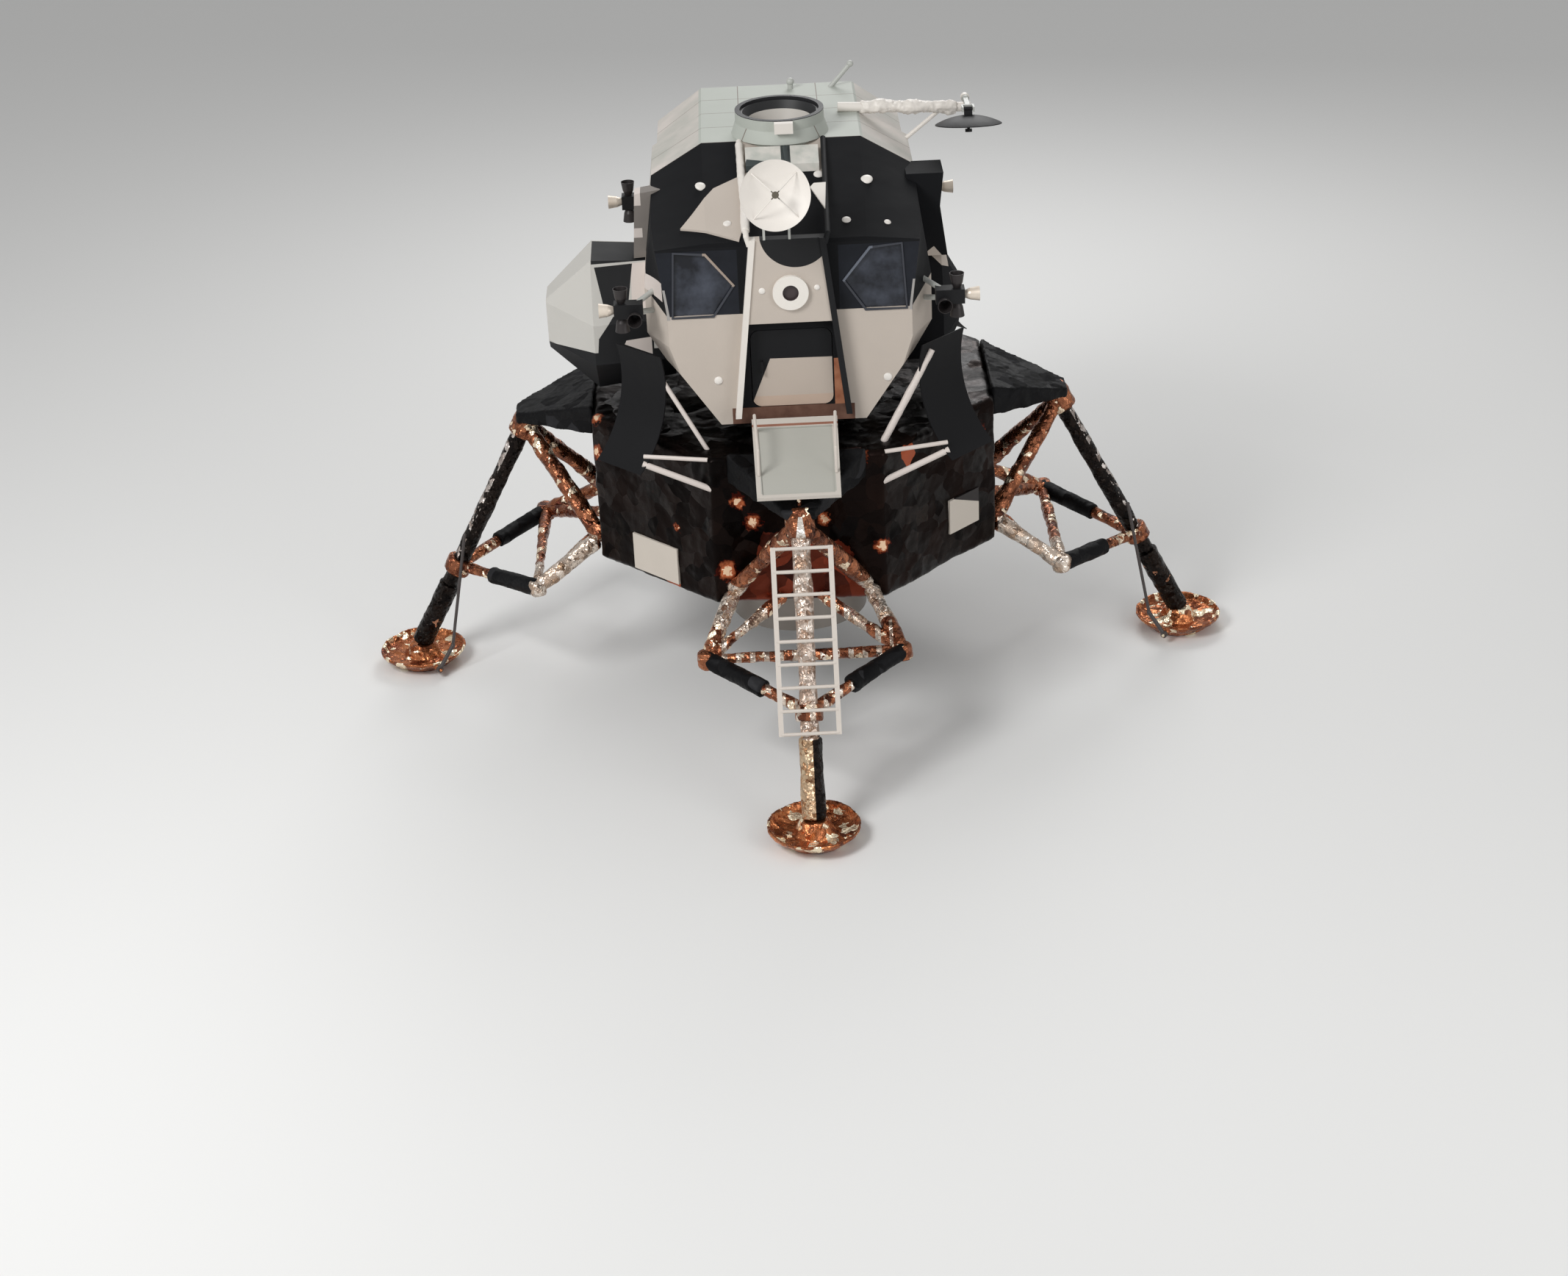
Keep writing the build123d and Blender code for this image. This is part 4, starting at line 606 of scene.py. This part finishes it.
def distance_to(place, point):
    """How far each place is from a point."""
    return place.node("VectorMath", {0: place, 1: point}, output="Value", operation="DISTANCE")


def dish_feed(place, coat):
    """The dish is white, its feed horn dark."""
    return blend_colours(distance_to(place, HORN_MIDDLE) < HORN_RADIUS, coat, HORN_DARK)


base_paint = panel_finish("base_paint", ROOF_GREY, roughness=0.5, pattern=base_sheets)
pale_metal = panel_finish("pale_metal", FITTING_GREY, roughness=0.4)
bar_paint = panel_finish("bar_paint", CREAM, roughness=0.45)
plate_paint = panel_finish("plate_paint", PLATE_CREAM, roughness=0.5, pattern=plate_corner)
ladder_metal = panel_finish("ladder_metal", LADDER_WHITE, roughness=0.4)
probe_metal = panel_finish("probe_metal", PROBE_DARK, roughness=0.4, gloss=0.4)
dark_metal = panel_finish("dark_metal", FITTING_DARK, roughness=0.5, mottle=0.3, gloss=0.2)
white_paint = panel_finish("white_paint", WHITE_COAT, roughness=0.45)
dish_white = panel_finish("dish_white", DISH_WHITE, roughness=0.45, pattern=dish_feed)
finish(base_paint, "radar_base")
finish(pale_metal, "quad_booms", "radar_ears", "antenna_fork", "roof_aerials",
       "interstage_fittings", "engine_mounts", "gimbal_ring")
finish(bar_paint, "deflector_bars")
finish(plate_paint, "side_plates")
finish(ladder_metal, "ladder", "ladder_brackets", "porch_rails")
finish(probe_metal, "probe_left", "probe_right", "probe_rear")
finish(dark_metal, "thruster_quads", "radar_yoke", "antenna_dish")
finish(white_paint, "antenna_boom")
finish(dish_white, "radar_dish")

# Porch
# A sloping deck of grey-green sheet with a raised, paler border, carried by tubes from the stage.
# An orange-brown line across its upper end is a painted shadow line.
DECK_GREY = (0.455, 0.45, 0.405)
BORDER_PALE = (0.60, 0.555, 0.50)
PORCH_SHADOW_LINE = (0.30, 0.13, 0.085)
DECK_HALF, DECK_Y = 0.372, (-3.00, -2.045)
SHADOW_LINE_Y = (-2.035, -2.0)


def porch_sheet(place, coat):
    x, y, z = axes(place)
    deck = (abs(x) < DECK_HALF) * within(y, *DECK_Y)
    sheet = blend_colours(deck, BORDER_PALE, coat)
    # the orange-brown line is a painted shadow across the deck's upper end
    return blend_colours(within(y, *SHADOW_LINE_Y), sheet, PORCH_SHADOW_LINE)


finish(panel_finish("porch_paint", DECK_GREY, pattern=porch_sheet), "porch")

# Plume deflectors
# Curved plates of dark coated sheet below the thrusters, each on a frame of thin tubes. They
# keep the thrusters' exhaust off the stage.
DEFLECTOR_DARK = (0.008, 0.008, 0.009)
deflector_paint = panel_finish("deflector_paint", DEFLECTOR_DARK, roughness=0.6, mottle=0.3,
                               gloss=0.15)
finish(deflector_paint, "plume_deflectors")

# Descent stage blanket
# Many layers of crinkled metal-coated film, taped over the whole stage and over the hoods above the
# legs. The stage's outer film is nearly black, with painted glints of copper and cream where its
# creases catch the light, and red copper behind the ladder.
SEAL_GAP = 0.0002
SLOW_SHIFT, SLOW_SHARE, RIDGE_LEVEL = Vector((7.3, 1.9, 4.4)), 0.45, 0.45
FILM_BEND = 0.16
# deep, bright and glint colours of a film
STAGE_FILM = (0.004, 0.0035, 0.0035), (0.018, 0.010, 0.008), (0.42, 0.10, 0.045)
HOOD_FILM = (0.005, 0.005, 0.0055), (0.010, 0.010, 0.011), (0.022, 0.022, 0.024)
# painted glints on the stage's creases, red with a cream core: centre and radius
PAINTED_GLINTS = (
    ((-0.621, -2.108, 2.736), 0.055), ((-0.467, -2.108, 2.505), 0.060),
    ((-0.756, -2.108, 1.961), 0.075), ((-2.079, -0.902, 2.836), 0.060),
    ((-2.053, -0.869, 3.223), 0.055), ((-1.262, -1.719, 2.289), 0.030),
    ((0.253, -2.108, 2.500), 0.045), ((0.595, -2.120, 3.190), 0.090),
    ((0.846, -2.108, 2.170), 0.060), ((1.640, -1.900, 3.050), 0.080),
    ((-1.640, -1.250, 3.190), 0.045), ((1.930, -1.000, 2.950), 0.050),
)
GLINT_REACH, GLINT_RAG = 1.6, 0.16
GLINT_RED, GLINT_COPPER, GLINT_CORE = (0.05, 0.007, 0.004), (0.80, 0.22, 0.09), (0.96, 0.68, 0.46)
STAGE_FRONT_Y = -1.9
LADDER_ZONE = ((-0.80, 1.40), (0.85, 1.40), (0.42, 2.45), (-0.36, 2.55))
LADDER_FILM = (0.030, 0.010, 0.008), (0.34, 0.070, 0.036)


def solids_of(*nodes):
    """A merged copy of CAD solids."""
    gathered = bmesh.new()
    for node in nodes:
        gathered.from_mesh(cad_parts[node].data)
    bmesh.ops.remove_doubles(gathered, verts=gathered.verts, dist=SEAL_GAP)
    return gathered


def creased(name, shape, voxel, swell, wave, crease, scale, material, slot):
    """A film skin over a shape: a fine copy of it, pushed in and out along its normals."""
    skin = part_from(shape, name, material)
    remesh = skin.modifiers.new("skin", "REMESH")
    remesh.mode, remesh.voxel_size, remesh.use_smooth_shade = "VOXEL", voxel, True
    remeshed = skin.evaluated_get(bpy.context.evaluated_depsgraph_get())
    fine = bpy.data.meshes.new_from_object(remeshed)
    skin.modifiers.clear()
    skin.data = fine
    normals = [vertex.normal.copy() for vertex in fine.vertices]
    for vertex, outwards in zip(fine.vertices, normals):
        ridges = noise.turbulence(vertex.co * scale, 3, True)
        slow = noise.noise(vertex.co * scale * SLOW_SHARE + SLOW_SHIFT)
        vertex.co += outwards * (swell + wave * slow + crease * (RIDGE_LEVEL - ridges))
        vertex.co.z = max(vertex.co.z, 0.0)
    fine.materials.clear()
    fine.materials.append(material)
    return skin


def foil(name, deep, bright, glint, facet, roughness=0.3, glints=0.86, metallic=0.85,
         gloss=0.5, relief=0.9, pattern=None):
    """Crinkled film: small tilted facets, each of its own tone, a few of them given a painted
    glint.
    """
    material, shader, place = new_finish(name, roughness, metallic=metallic)
    shader.inputs["Specular IOR Level"].default_value = gloss
    drift = clouds(place, facet * 0.6, 2.0, output="Color")
    bent = place.node("Mix", {0: FILM_BEND, 4: place, 5: drift}, output=1, data_type="VECTOR")
    cells = {"Vector": bent, "Scale": facet}
    tilt = place.node("TexVoronoi", cells, output="Color")
    centre = place.node("TexVoronoi", cells, output="Position")
    offset = place.node("VectorMath", {0: bent, 1: centre}, operation="SUBTRACT")
    lean = place.node("VectorMath", {0: tilt, 1: (0.5, 0.5, 0.5)}, operation="SUBTRACT")
    facets = place.node("VectorMath", {0: offset, 1: lean}, output="Value",
                        operation="DOT_PRODUCT")
    fine = clouds(place, facet * 5.0)
    height = facets + 0.004 * fine
    bump = place.node("Bump", {"Strength": relief, "Distance": 1.0, "Height": height})
    shade = place.node("SeparateColor", {0: tilt})
    base = blend_colours(0.6 * shade + 0.9 * clouds(place, facet * 0.35) - 0.35, deep, bright)
    # a few random facets take the glint colour: painted glints
    glint_facets = place.node("SeparateColor", {0: tilt}, output=1) > glints
    base = blend_colours(glint_facets, base, glint)
    if pattern:
        base = pattern(place, base, shade)
    feed(shader, Base_Color=base, Roughness=roughness - 0.1 + 0.25 * fine, Normal=bump)
    return material


def glints_and_ladder_film(place, base, shade):
    """Painted copper glints on the creases, and red copper film behind the ladder, low on the
    stage's front.
    """
    x, y, z = axes(place)
    ragged = clouds(place, 22.0)
    # each spot is a painted glint: a red halo round a bright core
    for centre, radius in PAINTED_GLINTS:
        away = distance_to(place, centre)
        near = GLINT_REACH - (away + GLINT_RAG * (ragged - 0.5)) * (1.0 / radius)
        film = blend_colours(0.8 * near + 0.5 * shade - 0.4, GLINT_RED, GLINT_COPPER)
        base = blend_colours(near > 0.0, base, film)
        base = blend_colours(near > 1.0, base, GLINT_CORE)
    edge = 0.30 * clouds(place, 4.0, 4.0)
    zone = outline_mask(x + edge - 0.15, z + edge, LADDER_ZONE) * (y < STAGE_FRONT_Y)
    return blend_colours(zone, base, blend_colours(shade, *LADDER_FILM))


stage_foil = foil("stage_foil", *STAGE_FILM, facet=6.0, glints=0.992, gloss=0.10, relief=0.4,
                  pattern=glints_and_ladder_film)
black_blanket = foil("black_blanket", *HOOD_FILM, facet=5.0, roughness=0.55, gloss=0.12,
                     metallic=0.3)
stage_skin = creased("stage_blanket", solids_of("descent_stage"), voxel=0.030, swell=0.0,
                     wave=0.016, crease=0.022, scale=2.6, material=stage_foil, slot="stage_foil")
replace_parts(stage_skin, "descent_stage")
hood_skin = creased("hood_blankets", solids_of("outrigger_hoods"), voxel=0.018, swell=0.004,
                    wave=0.012, crease=0.016, scale=4.0, material=black_blanket,
                    slot="black_blanket")
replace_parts(hood_skin, "outrigger_hoods")
finish(black_blanket, "base_heat_shield")

# Landing gear
# Aluminium tubes, wrapped in several layers of crinkled film. The outriggers and their braces
# are copper with gold and cream highlights, the lower sleeves and the dampers black. The
# front leg's tube is cream behind the ladder, and its sleeve gold on the left.
# deep, bright and glint colours of each film
COPPER = (0.10, 0.026, 0.014), (0.60, 0.23, 0.11), (0.95, 0.78, 0.58)
DARK_FILM = (0.006, 0.005, 0.005), (0.03, 0.022, 0.018), (0.42, 0.20, 0.12)
PAD_COPPER = (0.16, 0.035, 0.014), (0.80, 0.30, 0.12), (0.98, 0.84, 0.62)
# where the copper film is paler: its two pale shades, the braces, their feet, and a row of painted
# glints on the low cross strut
BRACE_FILM = (0.40, 0.26, 0.17), (0.92, 0.82, 0.72)
BRACE_X, BRACE_BACK_Y, BRACE_TOP_Z = 2.15, -0.45, 1.80
FOOT_X, FOOT_Y, FOOT_TOP_Z = (0.42, 0.95), (-2.55, STAGE_FRONT_Y), 1.85
BEAD_GLINT_RATE, BEAD_GLINT_TOP_Z, BEAD_GLINT_HALF = 44.0, 1.62, 0.9
FAIRING_CREAM = (0.86, 0.80, 0.74)
FAIRING = ((-0.10, 2.40), (0.10, 2.40), (0.02, 2.95), (-0.02, 2.95))
FAIRING_BACK_Y = -2.80
EDGE_GLINT_COLOURS = (0.24, 0.18, 0.15), (0.80, 0.74, 0.70)
TUBE_FILM = (0.42, 0.27, 0.19), (0.86, 0.76, 0.68)
GOLD_FILM = (0.30, 0.15, 0.07), (0.80, 0.62, 0.42)
# a side strut's upper normal and a point on its axis, as x and z, and where the painted white
# glints show
STRUT_NORMAL, STRUT_POINT = (0.886, 0.464), (2.885, 2.827)
LIGHT_EDGE, LIGHT_X, LIGHT_FOOT_Z = 0.048, 2.5, 1.25
# the front leg, the top of its sleeve, and the sleeve's gold side
FRONT_LEG_Y, FRONT_LEG_HALF = -2.6, 0.3
SLEEVE_TOP_Z, GOLD_SIDE_X = 0.98, 0.02


def cream_braces(place, base, shade):
    """Paler film on the side legs' front braces and at the feet of the front leg's braces, and a
    row of painted glints, like beads, along the low cross strut.
    """
    x, y, z = axes(place)
    width = abs(x)
    brace = (width > BRACE_X) * (y < BRACE_BACK_Y) * (z < BRACE_TOP_Z)
    foot = within(width, *FOOT_X) * within(y, *FOOT_Y) * (z < FOOT_TOP_Z)
    # painted glints in a row of beads along the cross strut between the knees
    beads = (x.math("SINE", BEAD_GLINT_RATE * x) > 0.35) * (shade > 0.2)
    bead_glints = beads * (y < STAGE_FRONT_Y) * (z < BEAD_GLINT_TOP_Z) * (width < BEAD_GLINT_HALF)
    film = blend_colours(brace + foot + bead_glints, base, blend_colours(shade, *BRACE_FILM))
    fairing = outline_mask(x, z, FAIRING) * (y < FAIRING_BACK_Y)
    return blend_colours(fairing, film, FAIRING_CREAM)


def strut_lights(place, base, shade):
    """Painted white glints along the side struts' upper edge, and cream and gold film on the front
    one.
    """
    x, y, z = axes(place)
    width = abs(x)
    above_axis = (STRUT_NORMAL[0] * (width - STRUT_POINT[0])
                  + STRUT_NORMAL[1] * (z - STRUT_POINT[1]))
    broken = clouds(place, 13.0) - 0.055 * z < 0.38
    # painted highlight: broken white glints along the struts' upper edge
    sparkle = (above_axis > LIGHT_EDGE) * broken * (width > LIGHT_X) * (z > LIGHT_FOOT_Z)
    sides = blend_colours(sparkle, base, blend_colours(shade, *EDGE_GLINT_COLOURS))
    lower = blend_colours(x < GOLD_SIDE_X, base, blend_colours(shade, *GOLD_FILM))
    leg = blend_colours(z > SLEEVE_TOP_Z, lower, blend_colours(shade, *TUBE_FILM))
    return blend_colours((y < FRONT_LEG_Y) * (width < FRONT_LEG_HALF), sides, leg)


copper_foil = foil("copper_foil", *COPPER, facet=15.0, roughness=0.24, glints=0.88,
                   pattern=cream_braces)
dark_foil = foil("dark_foil", *DARK_FILM, facet=20.0, glints=0.994, gloss=0.2,
                 pattern=strut_lights)
pad_foil = foil("pad_foil", *PAD_COPPER, facet=13.0, roughness=0.24, glints=0.80)
# name, nodes, voxel, swell, wave, crease, scale, film, slot
WRAPS = (
    ("outrigger_wraps", ("outrigger_struts", "apex_fittings"),
     0.014, 0.026, 0.030, 0.022, 5.0, copper_foil, "strut_foil"),
    ("truss_wraps", ("deployment_trusses", "knee_fittings"),
     0.014, 0.024, 0.024, 0.018, 5.5, copper_foil, "strut_foil"),
    ("primary_wraps", ("primary_struts",),
     0.014, 0.004, 0.012, 0.012, 6.0, dark_foil, "strut_dark"),
    ("sleeve_wraps", ("strut_sleeves",),
     0.014, 0.004, 0.012, 0.012, 6.0, dark_foil, "black_blanket"),
    ("secondary_wraps", ("secondary_struts", "strut_collars"),
     0.012, 0.008, 0.012, 0.010, 7.0, copper_foil, "strut_foil"),
    ("damper_wraps", ("secondary_dampers",),
     0.014, 0.002, 0.010, 0.010, 6.0, black_blanket, "black_blanket"),
    ("pad_wraps", ("footpads",),
     0.012, 0.0, 0.010, 0.014, 6.0, pad_foil, "strut_foil"),
)
for name, nodes, *folds, film, slot in WRAPS:
    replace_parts(creased(name, solids_of(*nodes), *folds, film, slot), *nodes)
finish(copper_foil, "porch_supports")

# Gusset of the right radar tube
# A small white plate, nearly three-cornered and with rounded edges, fixed to the inner side of
# the right radar tube.
GUSSET_CORNERS = ((0.262, -1.184, 5.706), (0.395, -1.545, 5.597), (0.422, -1.120, 5.725),
                  (0.300, -1.125, 5.724))
GUSSET_DEPTH = (0.0, -0.006, 0.020)
GUSSET_EDGE = 0.004

gusset = bmesh.new()
plate_face = gusset.faces.new([gusset.verts.new(corner) for corner in GUSSET_CORNERS])
drawn = bmesh.ops.extrude_face_region(gusset, geom=[plate_face])["geom"]
lifted = [part for part in drawn if isinstance(part, bmesh.types.BMVert)]
bmesh.ops.translate(gusset, verts=lifted, vec=GUSSET_DEPTH)
bmesh.ops.recalc_face_normals(gusset, faces=gusset.faces)
bmesh.ops.bevel(gusset, geom=gusset.edges[:], offset=GUSSET_EDGE, affect="EDGES", segments=2,
                profile=0.5, material=-1)
part_from(gusset, "radar_gusset", white_paint)

# White sleeves on the radar tube, the antenna boom and one deflector bar
# Quilted white film, tied round the left radar tube, the antenna's boom and the right
# deflector's long bar, lumpy where the layers bunch up.

# name, start, end, radius, voxel, swell, wave, crease, scale, coat, slot
SLEEVES = (
    ("radar_tube_sleeve", (-0.430, -0.38, 5.932), (-0.402, -1.80, 5.500), 0.038,
     0.010, 0.002, 0.010, 0.008, 7.0, white_paint, "dish_paint"),
    ("boom_sleeve", (0.86, 0.56, 5.988), (1.86, 0.56, 5.937), 0.060,
     0.012, 0.006, 0.030, 0.034, 9.0, white_paint, "dish_paint"),
    ("bar_sleeve", (0.894, -1.855, 3.215), (1.420, -1.657, 4.118), 0.036,
     0.010, 0.0, 0.006, 0.006, 7.0, bar_paint, "pale_paint"),
)


def tube_between(start, end, radius):
    """A round bar between two points."""
    start, end = Vector(start), Vector(end)
    lean = (end - start).to_track_quat("Z", "Y").to_matrix().to_4x4()
    bar = bmesh.new()
    bmesh.ops.create_cone(bar, cap_ends=True, segments=24, radius1=radius, radius2=radius,
                          depth=(end - start).length,
                          matrix=Matrix.Translation((start + end) / 2) @ lean)
    return bar


for name, start, end, radius, *folds, coat, slot in SLEEVES:
    creased(name, tube_between(start, end, radius), *folds, coat, slot)

# Engine bell and thruster nozzles
# Bare heat-stained metal, spun thin, in browner and brighter patches. The thrusters that point
# sideways are pale, the others dark.
BELL_DARK, BELL_BRIGHT = (0.16, 0.14, 0.125), (0.34, 0.31, 0.28)
NOZZLE_DARK = (0.035, 0.03, 0.03)
NOZZLE_TAN, NOZZLE_PALE = (0.62, 0.52, 0.42), (0.86, 0.78, 0.68)
SIDE_NOZZLE_X = 1.75

engine_metal, engine_shader, place = new_finish("engine_metal", roughness=0.38, metallic=0.9)
feed(engine_shader, Base_Color=blend_colours(clouds(place, 1.8), BELL_DARK, BELL_BRIGHT))
finish(engine_metal, "engine_nozzle")
thruster_finish, thruster_shader, place = new_finish("thruster_finish", roughness=0.42,
                                                     metallic=0.4)
sideways = abs(axes(place)[0]) > SIDE_NOZZLE_X
bare = blend_colours(clouds(place, 9.0), NOZZLE_TAN, NOZZLE_PALE)
feed(thruster_shader, Base_Color=blend_colours(sideways, NOZZLE_DARK, bare))
finish(thruster_finish, "thruster_nozzles")
